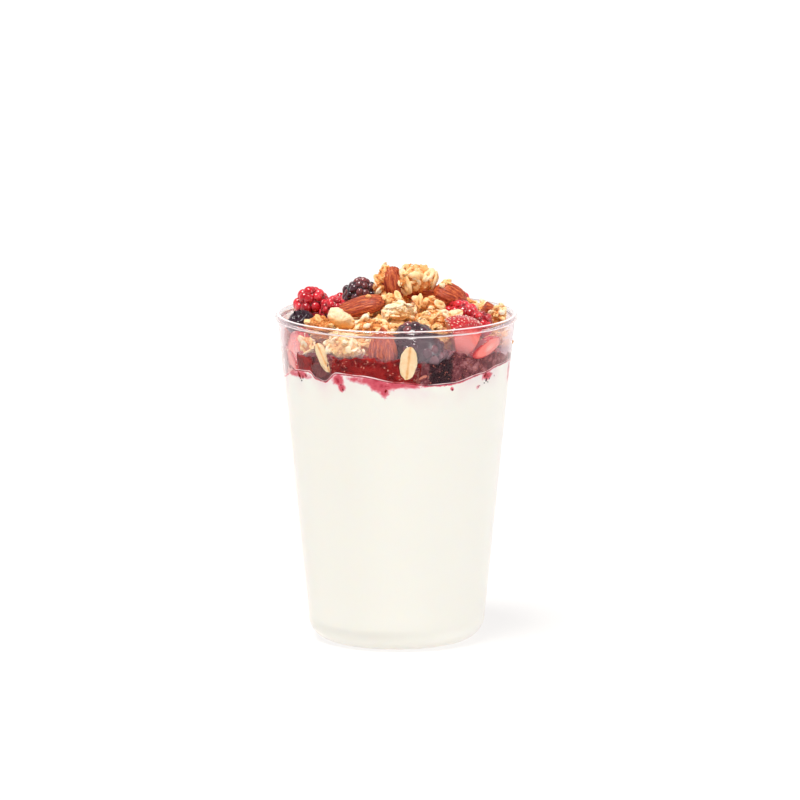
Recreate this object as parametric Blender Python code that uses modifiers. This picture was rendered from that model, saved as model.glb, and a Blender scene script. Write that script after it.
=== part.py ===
"""Yogurt parfait in a clear cup: yogurt, a fruit layer, a granola bed and loose toppings.

Metres, +Z up. The origin is the centre of the cup's underside, and -Y is the front.
Every height, radius and place below is written in millimetres and multiplied by MM.
"""

import math
from dataclasses import dataclass

import bmesh
import bpy
from mathutils import Euler, Matrix, Vector, noise
from mathutils.bvhtree import BVHTree

MM = 0.001

# Driving dimensions of the cup.
RIM_DIAMETER = 80.0
CUP_HEIGHT = 109.0
WALL = 0.8
FLOOR = 1.2
TAPER = 0.0993  # outward run of the wall for each unit of height
BEAD_RADIUS = 1.15
BEAD_OVERHANG = 0.95  # how far the rolled rim stands proud of the wall
CORNER_RADIUS = 8.0

# Driving dimensions of the layers.
YOGURT_LEVEL = 93.8
FRUIT_DEPTH = 4.6
BED_EDGE_LEVEL = 104.6
BED_CROWN = 8.0  # how much higher the granola bed is in the middle
GAP = 0.3
CUTTER_GROWTH = 0.4  # how far a cutter stands off the piece it makes room for
LAYER_GROWTH = 0.9  # how far a layer's points stay off each topping
LAYER_MARGIN = 2.2  # how far to each side a layer's top is tested
LAYER_STEP = 0.25  # how far a layer's point moves at a time until it is clear
THINNEST_LAYER = 0.8
DEEPEST_SINK = 9.0  # how far below its level the yogurt can give way to a topping

SEGMENTS = 36
BERRY_SIDES = 12
BERRY_RINGS = 8
CORNER_STEPS = 4
BEAD_STEPS = 5
LAYER_RINGS = (0.0, 0.22, 0.44, 0.64, 0.83, 1.0)  # fractions of the inner radius
SIDE_TURNS = (-7.0, -3.5, 0.0, 3.5, 7.0)  # directions, in degrees, tested for one point of a side
MERGE = 0.00001

# Dips of the yogurt's top along the wall: angle from the front, width (degrees), depth.
YOGURT_DIPS = (
    (-82.0, 15.0, 5.2),
    (-41.0, 6.0, 2.6),
    (18.0, 19.0, 3.1),
    (112.0, 16.0, 3.0),
    (156.0, 12.0, 2.2),
    (-142.0, 18.0, 3.4),
)
# Rises and falls of the fruit layer's top along the wall: how many waves, and their height.
FRUIT_WAVES = ((3, 0.9), (5, 0.7), (8, 0.4))
BED_LUMP_HEIGHT = 0.8
BED_LUMP_WIDTH = 6.0

MATERIALS = {
    # name: (linear base colour, roughness, transmission)
    "clear_wall": ((0.92, 0.93, 0.92), 0.05, 1.0),
    "yogurt": ((0.94, 0.91, 0.83), 0.45, 0.0),
    "fruit_compote": ((0.36, 0.03, 0.03), 0.25, 0.0),
    "granola": ((0.78, 0.46, 0.20), 0.70, 0.0),
    "raspberry": ((0.55, 0.03, 0.04), 0.28, 0.0),
    "dark_berry": ((0.05, 0.015, 0.025), 0.35, 0.0),
    "strawberry": ((0.75, 0.12, 0.10), 0.30, 0.0),
    "almond": ((0.45, 0.14, 0.05), 0.50, 0.0),
    "oat": ((0.82, 0.60, 0.34), 0.65, 0.0),
    "toasted_nut": ((0.88, 0.62, 0.32), 0.40, 0.0),
}


@dataclass(frozen=True)
class Topping:
    """One topping: its node name, form, centre and size in mm, and turn in degrees."""

    name: str
    form: str
    centre: tuple
    size: tuple
    turn: tuple = (0.0, 0.0, 0.0)


# The first in the list keeps its whole shape. Each later one is cut where it meets one before it.
TOPPINGS = (
    # The crown of the heap.
    Topping("granola_cluster_top", "cluster", (7.2, 1.5, 119.9), (14.6, 9.0, 10.6), (0, 6, 10)),
    Topping("almond_top", "almond", (-3.2, -0.6, 117.2), (14.6, 7.6, 6.4), (70, -78, 0)),
    Topping("granola_cluster_top_left", "crumb", (-6.2, 3.6, 119.4), (5.4, 6.0, 12.2), (0, 8, 0)),
    Topping("almond_right", "almond", (17.0, -1.2, 115.0), (15.4, 9.4, 7.4), (35, 14, -12)),
    Topping("almond_left", "almond", (-11.6, -5.2, 113.2), (16.4, 9.2, 5.8), (48, -17, 4)),
    Topping("dark_berry_top", "drupelets", (-12.8, 6.4, 114.6), (10.4, 9.4, 9.6), (10, 20, 0)),
    # The front of the heap, above the rim.
    Topping("raspberry_left", "drupelets", (-28.2, 2.6, 111.4), (12.0, 11.6, 12.0), (12, -16, 30)),
    Topping("raspberry_inner", "drupelets", (-19.9, -5.6, 110.4), (9.4, 9.4, 9.8), (24, 14, 0)),
    Topping("dark_berry_small", "smooth", (-31.3, -8.4, 106.7), (9.2, 9.0, 8.8), (30, -20, 0)),
    Topping("toasted_nut", "nut", (-17.6, -17.6, 109.7), (9.4, 5.6, 7.6), (-14, 18, 0)),
    Topping("granola_cluster_left", "crumb", (-25.6, -18.2, 107.4), (9.6, 8.0, 8.4), (0, 0, -40)),
    Topping("granola_cluster_front", "crumb", (-8.8, -22.4, 108.2), (10.6, 7.6, 8.2), (0, 8, 0)),
    Topping("granola_cluster_pale", "cluster", (0.9, -12.8, 110.9), (11.4, 8.0, 8.8), (8, 0, 12)),
    Topping("granola_cluster_mid", "crumb", (10.6, -9.6, 113.6), (11.2, 7.0, 6.0), (0, 6, 0)),
    Topping("granola_cluster_gold", "crumb", (-1.4, -5.6, 113.2), (9.0, 6.4, 8.0), (0, 0, 20)),
    Topping("oat_flake_curved", "flake", (19.0, -13.4, 110.6), (6.4, 3.8, 1.3), (50, -34, 0)),
    Topping("dark_berry_large", "drupelets", (8.6, -26.0, 99.6), (17.4, 16.6, 21.2), (0, -7, 0)),
    Topping("granola_cluster_right", "cluster", (13.0, -15.0, 109.0), (12.0, 7.2, 7.4), (0, 4, 8)),
    Topping("strawberry_wedge_right", "wedge", (22.6, -20.6, 104.0), (12.6, 11.0, 14.6), (0, 4, 34)),
    Topping("raspberry_right", "drupelets", (22.8, -5.4, 107.2), (11.4, 11.0, 13.8), (58, 62, 0)),
    Topping("raspberry_edge", "drupelets", (28.2, -12.8, 106.8), (8.2, 8.0, 8.6), (30, 40, 0)),
    Topping("almond_chopped", "chunk", (30.4, 0.6, 109.8), (6.0, 5.4, 7.2), (0, 20, 30)),
    Topping("granola_cluster_edge", "crumb", (33.2, -5.4, 108.2), (6.2, 6.4, 7.6), (0, 0, 20)),
    Topping("granola_crumb_right", "crumb", (24.2, 6.0, 110.4), (6.0, 5.4, 4.8), (0, 0, 0)),
    # What shows through the front wall, below the rim.
    Topping("oat_flake_front", "flake", (3.7, -35.7, 98.3), (10.9, 5.7, 1.5), (84, -84, 0)),
    Topping("almond_front", "almond", (-4.2, -31.9, 103.0), (13.6, 9.6, 6.8), (84, -90, -8)),
    Topping("granola_crumb_wall", "crumb", (7.4, -34.2, 94.2), (6.2, 3.4, 5.2), (0, 0, 12)),
    Topping("granola_cluster_wall", "crumb", (-16.2, -29.6, 102.7), (13.6, 6.4, 9.2), (0, 4, -28)),
    Topping("oat_flake_left", "flake", (-23.2, -27.0, 98.8), (10.4, 4.4, 1.5), (60, 62, -40)),
    Topping("granola_cluster_low", "crumb", (-28.4, -20.6, 100.2), (8.4, 5.4, 8.4), (0, 0, -52)),
    Topping("dark_berry_low", "smooth", (-21.8, -25.0, 94.9), (9.4, 8.2, 7.4), (20, 10, 0)),
    Topping("strawberry_slice_left", "slice", (-34.0, -9.0, 95.2), (10.0, 3.2, 12.2), (0, -6, -75)),
    Topping("strawberry_half_left", "slice", (-30.0, -13.2, 99.4), (9.0, 4.2, 11.4), (0, 16, -64)),
    Topping("strawberry_slice_right", "slice", (30.2, -17.0, 100.2), (10.6, 3.4, 6.6), (0, -24, 61)),
    # The back of the heap.
    Topping("raspberry_back_left", "drupelets", (-18.6, 17.6, 109.8), (11.8, 11.4, 12.0), (-30, 10, 0)),
    Topping("granola_cluster_back", "crumb", (-3.6, 14.4, 113.0), (13.0, 9.0, 9.0), (0, 0, 16)),
    Topping("almond_back", "almond", (9.4, 12.6, 114.2), (15.8, 9.0, 6.6), (-24, 8, 24)),
    Topping("dark_berry_back", "smooth", (-6.8, 25.8, 107.4), (10.8, 10.6, 10.0), (-20, 0, 0)),
    Topping("strawberry_wedge_back", "wedge", (6.8, 24.6, 106.6), (12.8, 11.0, 13.0), (0, 0, 170)),
    Topping("raspberry_back_right", "drupelets", (19.2, 18.0, 108.6), (11.4, 11.2, 11.6), (24, -30, 0)),
    Topping("granola_cluster_back_right", "crumb", (29.2, 11.0, 108.0), (9.6, 8.6, 8.0), (0, 0, 60)),
    Topping("granola_cluster_back_left", "crumb", (-29.0, 13.6, 107.6), (10.2, 8.6, 8.2), (0, 0, 50)),
    Topping("strawberry_slice_back", "slice", (-21.8, 27.0, 101.0), (12.0, 4.0, 12.4), (0, 14, 219)),
    Topping("granola_cluster_back_wall", "crumb", (-6.0, 32.8, 101.6), (13.2, 5.8, 9.0), (0, 0, 188)),
    Topping("oat_flake_back", "flake", (12.4, 33.6, 98.6), (10.6, 5.2, 1.5), (84, 60, 160)),
    Topping("dark_berry_back_wall", "smooth", (26.8, 21.0, 99.6), (10.2, 9.6, 10.4), (10, 0, 0)),
    Topping("granola_cluster_back_rim", "crumb", (5.6, 33.0, 104.4), (8.6, 5.6, 8.4), (0, 0, 0)),
    Topping("dark_berry_back_rim", "smooth", (19.6, 27.6, 103.6), (8.8, 8.4, 9.0), (0, 30, 0)),
    Topping("granola_cluster_back_side", "crumb", (-14.6, 30.0, 105.4), (7.4, 6.6, 7.4), (0, 0, 30)),
    Topping("almond_back_wall", "almond", (-32.6, 5.6, 100.8), (14.6, 8.8, 6.2), (70, -64, -98)),
)

FORM_MATERIALS = {
    "cluster": "granola",
    "crumb": "granola",
    "almond": "almond",
    "chunk": "almond",
    "flake": "oat",
    "nut": "toasted_nut",
    "smooth": "dark_berry",
    "wedge": "strawberry",
    "slice": "strawberry",
}


def clear_scene():
    """Remove every object of the startup scene."""
    for obj in list(bpy.data.objects):
        bpy.data.objects.remove(obj, do_unlink=True)


def make_collection(name):
    """Make a collection and link it to the scene."""
    collection = bpy.data.collections.new(name)
    bpy.context.scene.collection.children.link(collection)
    return collection


def make_material(name):
    """Make the Principled material that MATERIALS describes."""
    colour, roughness, transmission = MATERIALS[name]
    material = bpy.data.materials.new(name)
    material.use_nodes = True
    shader = material.node_tree.nodes["Principled BSDF"]
    shader.inputs["Base Color"].default_value = (*colour, 1.0)
    shader.inputs["Roughness"].default_value = roughness
    shader.inputs["Metallic"].default_value = 0.0
    shader.inputs["Transmission Weight"].default_value = transmission
    material.diffuse_color = (*colour, 1.0)
    return material


def outer_radius(height):
    """Outside radius of the tapered wall at a height."""
    under_rim = RIM_DIAMETER / 2 - BEAD_OVERHANG
    return under_rim - TAPER * (CUP_HEIGHT - 2 * BEAD_RADIUS - height)


def inner_radius(height):
    """Inside radius of the tapered wall at a height."""
    return outer_radius(height) - WALL


def arc(centre, radius, start, end, steps):
    """Points of an arc in the profile plane, from start to end degrees."""
    points = []
    for step in range(steps + 1):
        angle = math.radians(start + (end - start) * step / steps)
        points.append((centre[0] + radius * math.cos(angle), centre[1] + radius * math.sin(angle)))
    return points


def corner_arc(radius, floor, offset):
    """The rounded foot corner, from the wall down to the floor, set in by offset."""
    slope = math.degrees(math.atan(TAPER))
    centre_height = floor + radius
    wall = outer_radius(centre_height) - offset
    centre = (wall - radius * math.cos(math.radians(slope)), centre_height)
    return arc(centre, radius, -slope, -90.0, CORNER_STEPS)


def cup_profile():
    """The closed outline of half the cup's section, down the outside and up the inside."""
    bead_centre = (RIM_DIAMETER / 2 - BEAD_RADIUS, CUP_HEIGHT - BEAD_RADIUS)
    below_bead = CUP_HEIGHT - 2 * BEAD_RADIUS
    inside_top = below_bead - BEAD_RADIUS
    points = arc(bead_centre, BEAD_RADIUS, 150.0, -60.0, BEAD_STEPS)
    points.append((outer_radius(below_bead), below_bead))
    points += corner_arc(CORNER_RADIUS, 0.0, 0.0)
    points.append((0.0, 0.0))
    points.append((0.0, FLOOR))
    points += reversed(corner_arc(CORNER_RADIUS - WALL, FLOOR, WALL))
    points.append((inner_radius(inside_top), inside_top))
    return points


def profile_object(name, points, closed):
    """An outline of edges in the XZ plane, turned by a Screw modifier."""
    mesh = bpy.data.meshes.new(name)
    corners = [(x * MM, 0.0, z * MM) for x, z in points]
    edges = [(index, index + 1) for index in range(len(points) - 1)]
    if closed:
        edges.append((len(points) - 1, 0))
    mesh.from_pydata(corners, edges, [])
    obj = bpy.data.objects.new(name, mesh)
    turn = obj.modifiers.new("turned", "SCREW")
    turn.steps = SEGMENTS
    turn.render_steps = SEGMENTS
    turn.use_merge_vertices = True
    turn.merge_threshold = MERGE
    turn.use_normal_calculate = False
    turn.use_smooth_shade = True
    return obj


def link(obj, collection, material):
    """Link an object to its collection and give it its material."""
    collection.objects.link(obj)
    obj.data.materials.clear()
    obj.data.materials.append(material)


def freeze(obj):
    """Replace an object's mesh with the result of its modifiers."""
    bpy.context.view_layer.update()
    graph = bpy.context.evaluated_depsgraph_get()
    mesh = bpy.data.meshes.new_from_object(obj.evaluated_get(graph))
    obj.modifiers.clear()
    obj.data = mesh


def build_cup(collection, material):
    """The clear cup with its rolled rim."""
    cup = profile_object("cup", cup_profile(), closed=True)
    link(cup, collection, material)
    return cup


def yogurt_surface(x, y):
    """Height of the yogurt's top, which dips here and there along the wall."""
    radius = math.hypot(x, y)
    angle = math.degrees(math.atan2(x, -y))
    reach = min(1.0, radius / inner_radius(YOGURT_LEVEL)) ** 2
    drop = 0.0
    for middle, width, depth in YOGURT_DIPS:
        away = (angle - middle + 180.0) % 360.0 - 180.0
        drop += depth * math.exp(-((away / width) ** 2))
    return YOGURT_LEVEL - drop * reach


def fruit_surface(x, y):
    """Height of the fruit layer's top."""
    angle = math.atan2(x, -y)
    reach = min(1.0, math.hypot(x, y) / inner_radius(YOGURT_LEVEL))
    wave = sum(height * math.cos(count * angle + count) for count, height in FRUIT_WAVES)
    return YOGURT_LEVEL + FRUIT_DEPTH + wave * reach


def bed_surface(x, y):
    """Height of the granola bed's top, crowned in the middle."""
    reach = min(1.0, math.hypot(x, y) / inner_radius(BED_EDGE_LEVEL))
    lumps = BED_LUMP_HEIGHT * noise.noise(Vector((x, y, 0.0)) / BED_LUMP_WIDTH)
    return BED_EDGE_LEVEL + BED_CROWN * (1.0 - reach**2) + lumps


def fruit_floor(x, y):
    """Height of the fruit layer's underside."""
    return yogurt_surface(x, y) + GAP


def bed_floor(x, y):
    """Height of the granola bed's underside."""
    return fruit_surface(x, y) + GAP


def build_yogurt(collection, material, keepouts):
    """The yogurt, down to the cup's floor, with its uneven top."""
    edge = inner_radius(YOGURT_LEVEL) - GAP
    points = [(edge * fraction, YOGURT_LEVEL) for fraction in LAYER_RINGS]
    points += corner_arc(CORNER_RADIUS - WALL - GAP, FLOOR + GAP, WALL + GAP)
    points.append((0.0, FLOOR + GAP))
    yogurt = profile_object("yogurt", points, closed=False)
    link(yogurt, collection, material)
    freeze(yogurt)
    for vertex in yogurt.data.vertices:
        if vertex.co.z > (YOGURT_LEVEL - GAP) * MM:
            x, y = vertex.co.x / MM, vertex.co.y / MM
            height = clear_height(x, y, YOGURT_LEVEL - DEEPEST_SINK, yogurt_surface(x, y), keepouts)
            on_wall = math.hypot(x, y) > edge - GAP
            shrink = (inner_radius(height) - GAP) / edge if on_wall else 1.0
            vertex.co = Vector((x * shrink, y * shrink, height)) * MM
    return yogurt


def build_layer(name, lower, upper, collection, material, keepouts):
    """A layer that fills the cup between two height functions of x and y.

    Its outline is turned as a unit shape, whose height runs from 0 on the lower surface to 1 on the upper.
    """
    top = [(fraction, 1.0) for fraction in LAYER_RINGS]
    side = [(1.0, 0.5)]
    bottom = [(fraction, 0.0) for fraction in reversed(LAYER_RINGS)]
    outline = [(x / MM, z / MM) for x, z in top + side + bottom]
    layer = profile_object(name, outline, closed=False)
    link(layer, collection, material)
    freeze(layer)
    place_layer(layer, lower, upper, keepouts)
    return layer


def place_layer(layer, lower, upper, keepouts):
    """Give a unit layer its real place: inside the wall, between its surfaces, clear of the toppings."""
    for vertex in layer.data.vertices:
        level = vertex.co.z
        angle = math.atan2(vertex.co.y, vertex.co.x)
        fraction = math.hypot(vertex.co.x, vertex.co.y)
        around = [angle + math.radians(turn) for turn in SIDE_TURNS]
        reach = fraction * min(clear_reach(direction, lower, keepouts) for direction in around)
        x, y = reach * math.cos(angle), reach * math.sin(angle)
        floor = lower(x, y)
        height = clear_height(x, y, floor + THINNEST_LAYER, upper(x, y), keepouts)
        height = floor + level * (height - floor)
        if math.hypot(x, y) > inner_radius(height) - GAP:
            shrink = (inner_radius(height) - GAP) / math.hypot(x, y)
            x, y = x * shrink, y * shrink
        vertex.co = Vector((x, y, height)) * MM


def clear_reach(angle, lower, keepouts):
    """How far from the axis a layer can go in one direction before a topping fills its depth."""
    reach = LAYER_STEP
    while reach < inner_radius(YOGURT_LEVEL + FRUIT_DEPTH) - GAP:
        x, y = reach * math.cos(angle), reach * math.sin(angle)
        floor = lower(x, y)
        if not (is_clear(x, y, floor, keepouts) and is_clear(x, y, floor + THINNEST_LAYER, keepouts)):
            break
        reach += LAYER_STEP
    return reach - LAYER_STEP


def clear_height(x, y, lowest, highest, keepouts):
    """How high a layer's top can rise at a place, and a little to each side, below the toppings."""
    height = lowest
    beside = (-LAYER_MARGIN, 0.0, LAYER_MARGIN)
    while height < highest:
        raised = height + LAYER_STEP
        if not all(is_clear(x + dx, y + dy, raised, keepouts) for dx in beside for dy in beside):
            break
        height += LAYER_STEP
    return min(height, highest)


class Keepout:
    """The room round one topping that the layers stay out of."""

    def __init__(self, obj):
        bm = hull_shape(obj, LAYER_GROWTH)
        corners = [vertex.co for vertex in bm.verts]
        self.low = [min(corner[axis] for corner in corners) for axis in range(3)]
        self.high = [max(corner[axis] for corner in corners) for axis in range(3)]
        self.tree = BVHTree.FromBMesh(bm)
        bm.free()

    def holds(self, point):
        """Whether a point lies inside."""
        for axis in range(3):
            if not self.low[axis] < point[axis] < self.high[axis]:
                return False
        location, normal, _, _ = self.tree.find_nearest(point)
        return (point - location).dot(normal) < 0.0


def is_clear(x, y, height, keepouts):
    """Whether a point in mm lies outside every topping's room."""
    point = Vector((x, y, height)) * MM
    return not any(keepout.holds(point) for keepout in keepouts)


def fit(bm, size):
    """Centre the shape and stretch it so that its box has this size in mm."""
    for axis in range(3):
        values = [vertex.co[axis] for vertex in bm.verts]
        low, high = min(values), max(values)
        for vertex in bm.verts:
            vertex.co[axis] = (vertex.co[axis] - (low + high) / 2) * size[axis] * MM / (high - low)


def drupelet_berry(bm, topping):
    """A berry of rounded drupelets in staggered rings, narrower at its tip, hollow at its base."""
    bmesh.ops.create_uvsphere(bm, u_segments=BERRY_SIDES, v_segments=BERRY_RINGS, radius=1.0)
    for vertex in bm.verts:
        direction = vertex.co.normalized()
        side = round(math.atan2(direction.y, direction.x) * BERRY_SIDES / math.tau)
        ring = round(math.acos(max(-1.0, min(1.0, direction.z))) * BERRY_RINGS / math.pi)
        on_drupelet = (side + ring) % 2 == 0
        vertex.co = direction * (1.04 if on_drupelet else 0.96)
        vertex.co.x *= 1.0 - 0.16 * direction.z
        vertex.co.y *= 1.0 - 0.16 * direction.z
        if ring == BERRY_RINGS:
            vertex.co.z += 0.35


def smooth_berry(bm, topping):
    """A small round berry with the shallow crown of its flower end."""
    bmesh.ops.create_uvsphere(bm, u_segments=10, v_segments=7, radius=1.0)
    for vertex in bm.verts:
        if vertex.co.z > 0.95:
            vertex.co.z -= 0.22


def almond(bm, topping):
    """An almond: a flattened drop, blunt at -X and pointed at +X."""
    bmesh.ops.create_uvsphere(bm, u_segments=10, v_segments=8, radius=1.0)
    bmesh.ops.rotate(bm, verts=bm.verts, matrix=Matrix.Rotation(math.pi / 2, 3, "Y"))
    for vertex in bm.verts:
        narrowing = 1.0 - 0.30 * vertex.co.x - 0.14 * vertex.co.x**2
        vertex.co.y *= narrowing
        vertex.co.z *= narrowing


def almond_chunk(bm, topping):
    """A piece of almond, cut across twice by the knife."""
    almond(bm, topping)
    cut_flat(bm, Vector((0.35, 0.0, 0.0)), Vector((1.0, 0.25, 0.1)))
    cut_flat(bm, Vector((-0.45, 0.0, 0.0)), Vector((-1.0, 0.3, 0.2)))


def oat_flake(bm, topping):
    """A rolled oat: a thin oval with the crease of its grain along it."""
    bmesh.ops.create_uvsphere(bm, u_segments=10, v_segments=5, radius=1.0)
    for vertex in bm.verts:
        crease = math.exp(-((vertex.co.y / 0.25) ** 2)) * (1.0 - abs(vertex.co.x))
        vertex.co.z *= 1.0 - 0.5 * crease


def toasted_nut(bm, topping):
    """Half of a peeled nut, flat behind and rounded in front."""
    bmesh.ops.create_uvsphere(bm, u_segments=12, v_segments=8, radius=1.0)
    for vertex in bm.verts:
        if vertex.co.y > 0.0:
            vertex.co.y *= 0.35
        vertex.co.z *= 1.0 - 0.18 * vertex.co.x


def lumpy(bm, topping, subdivisions, depth):
    """A lump of oats and crumbs stuck together: cells of rounded knobs."""
    bmesh.ops.create_icosphere(bm, subdivisions=subdivisions, radius=1.0)
    seed = Vector(topping.centre) * 0.37
    for vertex in bm.verts:
        direction = vertex.co.normalized()
        cells = noise.voronoi(direction * 1.6 + seed)[0][0]
        swell = noise.noise(direction * 1.3 + seed)
        vertex.co = direction * (1.0 + depth * (0.5 - cells) + 0.5 * depth * swell)


def granola_cluster(bm, topping):
    """A cluster of granola."""
    lumpy(bm, topping, subdivisions=3, depth=0.42)


def granola_crumb(bm, topping):
    """A small piece of granola."""
    lumpy(bm, topping, subdivisions=2, depth=0.36)


def cut_flat(bm, point, normal):
    """Cut the shape along a plane, drop the side that the normal points to, and close it."""
    geometry = list(bm.verts) + list(bm.edges) + list(bm.faces)
    cut = bmesh.ops.bisect_plane(bm, geom=geometry, plane_co=point, plane_no=normal, clear_outer=True)
    edges = [item for item in cut["geom_cut"] if isinstance(item, bmesh.types.BMEdge)]
    bmesh.ops.edgenet_fill(bm, edges=edges)


def whole_strawberry(bm):
    """A strawberry with its tip down and its hulled top flat."""
    bmesh.ops.create_uvsphere(bm, u_segments=12, v_segments=8, radius=1.0)
    for vertex in bm.verts:
        shoulder = 1.0 + 0.22 * vertex.co.z - 0.10 * vertex.co.z**2
        vertex.co.x *= shoulder
        vertex.co.y *= shoulder
        vertex.co.z *= 1.25


def strawberry_wedge(bm, topping):
    """A wedge of strawberry: the seeded skin above, two cut sides meeting in an edge below."""
    whole_strawberry(bm)
    bmesh.ops.rotate(bm, verts=bm.verts, matrix=Matrix.Rotation(math.pi / 2, 3, "X"))
    half_angle = math.radians(30)
    for side in (-1.0, 1.0):
        normal = Vector((side * math.cos(half_angle), 0.0, -math.sin(half_angle)))
        cut_flat(bm, Vector((0.0, 0.0, 0.0)), normal)
    cut_flat(bm, Vector((0.0, -0.35, 0.0)), Vector((0.0, -1.0, 0.0)))


def strawberry_slice(bm, topping):
    """A slice along a strawberry, its tip up, with skin round its edge."""
    whole_strawberry(bm)
    bmesh.ops.rotate(bm, verts=bm.verts, matrix=Matrix.Rotation(math.pi, 3, "Y"))
    cut_flat(bm, Vector((0.0, 0.12, 0.0)), Vector((0.0, 1.0, 0.0)))
    cut_flat(bm, Vector((0.0, -0.28, 0.0)), Vector((0.0, -1.0, 0.0)))


FORMS = {
    "drupelets": drupelet_berry,
    "smooth": smooth_berry,
    "almond": almond,
    "chunk": almond_chunk,
    "flake": oat_flake,
    "nut": toasted_nut,
    "cluster": granola_cluster,
    "crumb": granola_crumb,
    "wedge": strawberry_wedge,
    "slice": strawberry_slice,
}


def build_topping(topping, collection, materials):
    """One topping, shaped by its form and put in its place."""
    bm = bmesh.new()
    FORMS[topping.form](bm, topping)
    fit(bm, topping.size)
    bmesh.ops.triangulate(bm, faces=bm.faces)
    bmesh.ops.recalc_face_normals(bm, faces=bm.faces)
    mesh = bpy.data.meshes.new(topping.name)
    bm.to_mesh(mesh)
    bm.free()
    obj = bpy.data.objects.new(topping.name, mesh)
    is_raspberry = topping.name.startswith("raspberry")
    drupelets = "raspberry" if is_raspberry else "dark_berry"
    link(obj, collection, materials[FORM_MATERIALS.get(topping.form, drupelets)])
    obj.location = Vector(topping.centre) * MM
    obj.rotation_euler = Euler([math.radians(turn) for turn in topping.turn])
    mesh.shade_smooth()
    mesh.set_sharp_from_angle(angle=math.radians(50))
    return obj


def world_box(obj):
    """Lowest and highest corners of an object's mesh in world space."""
    bpy.context.view_layer.update()
    points = [obj.matrix_world @ vertex.co for vertex in obj.data.vertices]
    low = Vector([min(point[axis] for point in points) for axis in range(3)])
    high = Vector([max(point[axis] for point in points) for axis in range(3)])
    return low, high


def boxes_meet(first, second):
    """Whether two boxes come within the gap of each other."""
    reach = 2 * GAP * MM
    for axis in range(3):
        if first[0][axis] > second[1][axis] + reach or second[0][axis] > first[1][axis] + reach:
            return False
    return True


def hull_shape(obj, growth):
    """The convex hull of an object in world space, grown by this many mm on every side."""
    bm = bmesh.new()
    for vertex in obj.data.vertices:
        bm.verts.new(obj.matrix_world @ vertex.co)
    bmesh.ops.convex_hull(bm, input=bm.verts)
    loose = [vertex for vertex in bm.verts if not vertex.link_faces]
    bmesh.ops.delete(bm, geom=loose, context="VERTS")
    bmesh.ops.recalc_face_normals(bm, faces=bm.faces)
    bm.normal_update()
    for vertex in bm.verts:
        vertex.co += vertex.normal * growth * MM
    return bm


def clearance_cutter(obj, collection):
    """A cutter that takes the room of an object and the gap round it."""
    bm = hull_shape(obj, CUTTER_GROWTH)
    mesh = bpy.data.meshes.new(obj.name + "_clearance")
    bm.to_mesh(mesh)
    bm.free()
    cutter = bpy.data.objects.new(mesh.name, mesh)
    cutter.hide_render = True
    cutter.display_type = "WIRE"
    collection.objects.link(cutter)
    return cutter


def keep_largest_body(obj):
    """Drop the small bits that a cut left loose."""
    bm = bmesh.new()
    bm.from_mesh(obj.data)
    unseen = set(bm.faces)
    bodies = []
    while unseen:
        body, edge_of_body = set(), [unseen.pop()]
        while edge_of_body:
            face = edge_of_body.pop()
            body.add(face)
            for edge in face.edges:
                for other in edge.link_faces:
                    if other in unseen:
                        unseen.remove(other)
                        edge_of_body.append(other)
        bodies.append(body)
    bodies.sort(key=lambda body: sum(face.calc_area() for face in body))
    for body in bodies[:-1]:
        bmesh.ops.delete(bm, geom=list(body), context="FACES")
    loose = [vertex for vertex in bm.verts if not vertex.link_faces]
    bmesh.ops.delete(bm, geom=loose, context="VERTS")
    bmesh.ops.triangulate(bm, faces=bm.faces)
    bm.to_mesh(obj.data)
    bm.free()


def carve(obj, neighbours, cutters):
    """Cut from an object the room that its neighbours and the gap round them take."""
    box = world_box(obj)
    met = [other for other in neighbours if boxes_meet(box, world_box(other))]
    hulls = [clearance_cutter(other, cutters) for other in met]
    for hull in hulls:
        cut = obj.modifiers.new(hull.name, "BOOLEAN")
        cut.operation = "DIFFERENCE"
        cut.solver = "EXACT"
        cut.object = hull
    if hulls:
        freeze(obj)
        keep_largest_body(obj)
    for hull in hulls:
        bpy.data.objects.remove(hull, do_unlink=True)


def settle_inside(obj):
    """Slide an object towards the axis until all of it is clear of the cup's wall."""
    bpy.context.view_layer.update()
    excess = 0.0
    for vertex in obj.data.vertices:
        point = (obj.matrix_world @ vertex.co) / MM
        if point.z < CUP_HEIGHT:
            room = inner_radius(point.z) - 2 * GAP
            excess = max(excess, math.hypot(point.x, point.y) - room)
    inwards = Vector((-obj.location.x, -obj.location.y, 0.0)).normalized()
    obj.location += inwards * excess * MM


def main():
    """Build the cup, its layers and the toppings, and give each piece its clearance."""
    clear_scene()
    parfait = make_collection("yogurt_parfait")
    cutters = make_collection("cutters")
    materials = {name: make_material(name) for name in MATERIALS}
    build_cup(parfait, materials["clear_wall"])
    placed = []
    for topping in TOPPINGS:
        obj = build_topping(topping, parfait, materials)
        settle_inside(obj)
        carve(obj, placed, cutters)
        placed.append(obj)
    keepouts = [Keepout(obj) for obj in placed]
    yogurt = build_yogurt(parfait, materials["yogurt"], keepouts)
    fruit = build_layer(
        "fruit_layer", fruit_floor, fruit_surface, parfait, materials["fruit_compote"], keepouts
    )
    bed = build_layer("granola_bed", bed_floor, bed_surface, parfait, materials["granola"], keepouts)
    for layer in (yogurt, fruit, bed):
        carve(layer, placed, cutters)


main()
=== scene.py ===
"""Yogurt parfait in a clear cup: the finished looks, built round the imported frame.

Pieces are modelled on the bench in millimetres, at the origin, and brought to the row frame in metres
when they are seated. -Y is the front and +Z is up.
"""

import logging
import math
import random
import zlib
from collections.abc import Callable, Iterator, Sequence
from contextlib import contextmanager
from dataclasses import dataclass
from enum import Enum

import bmesh
import bpy
import numpy as np
from mathutils import Euler, Matrix, Vector
from mathutils.bvhtree import BVHTree

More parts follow.
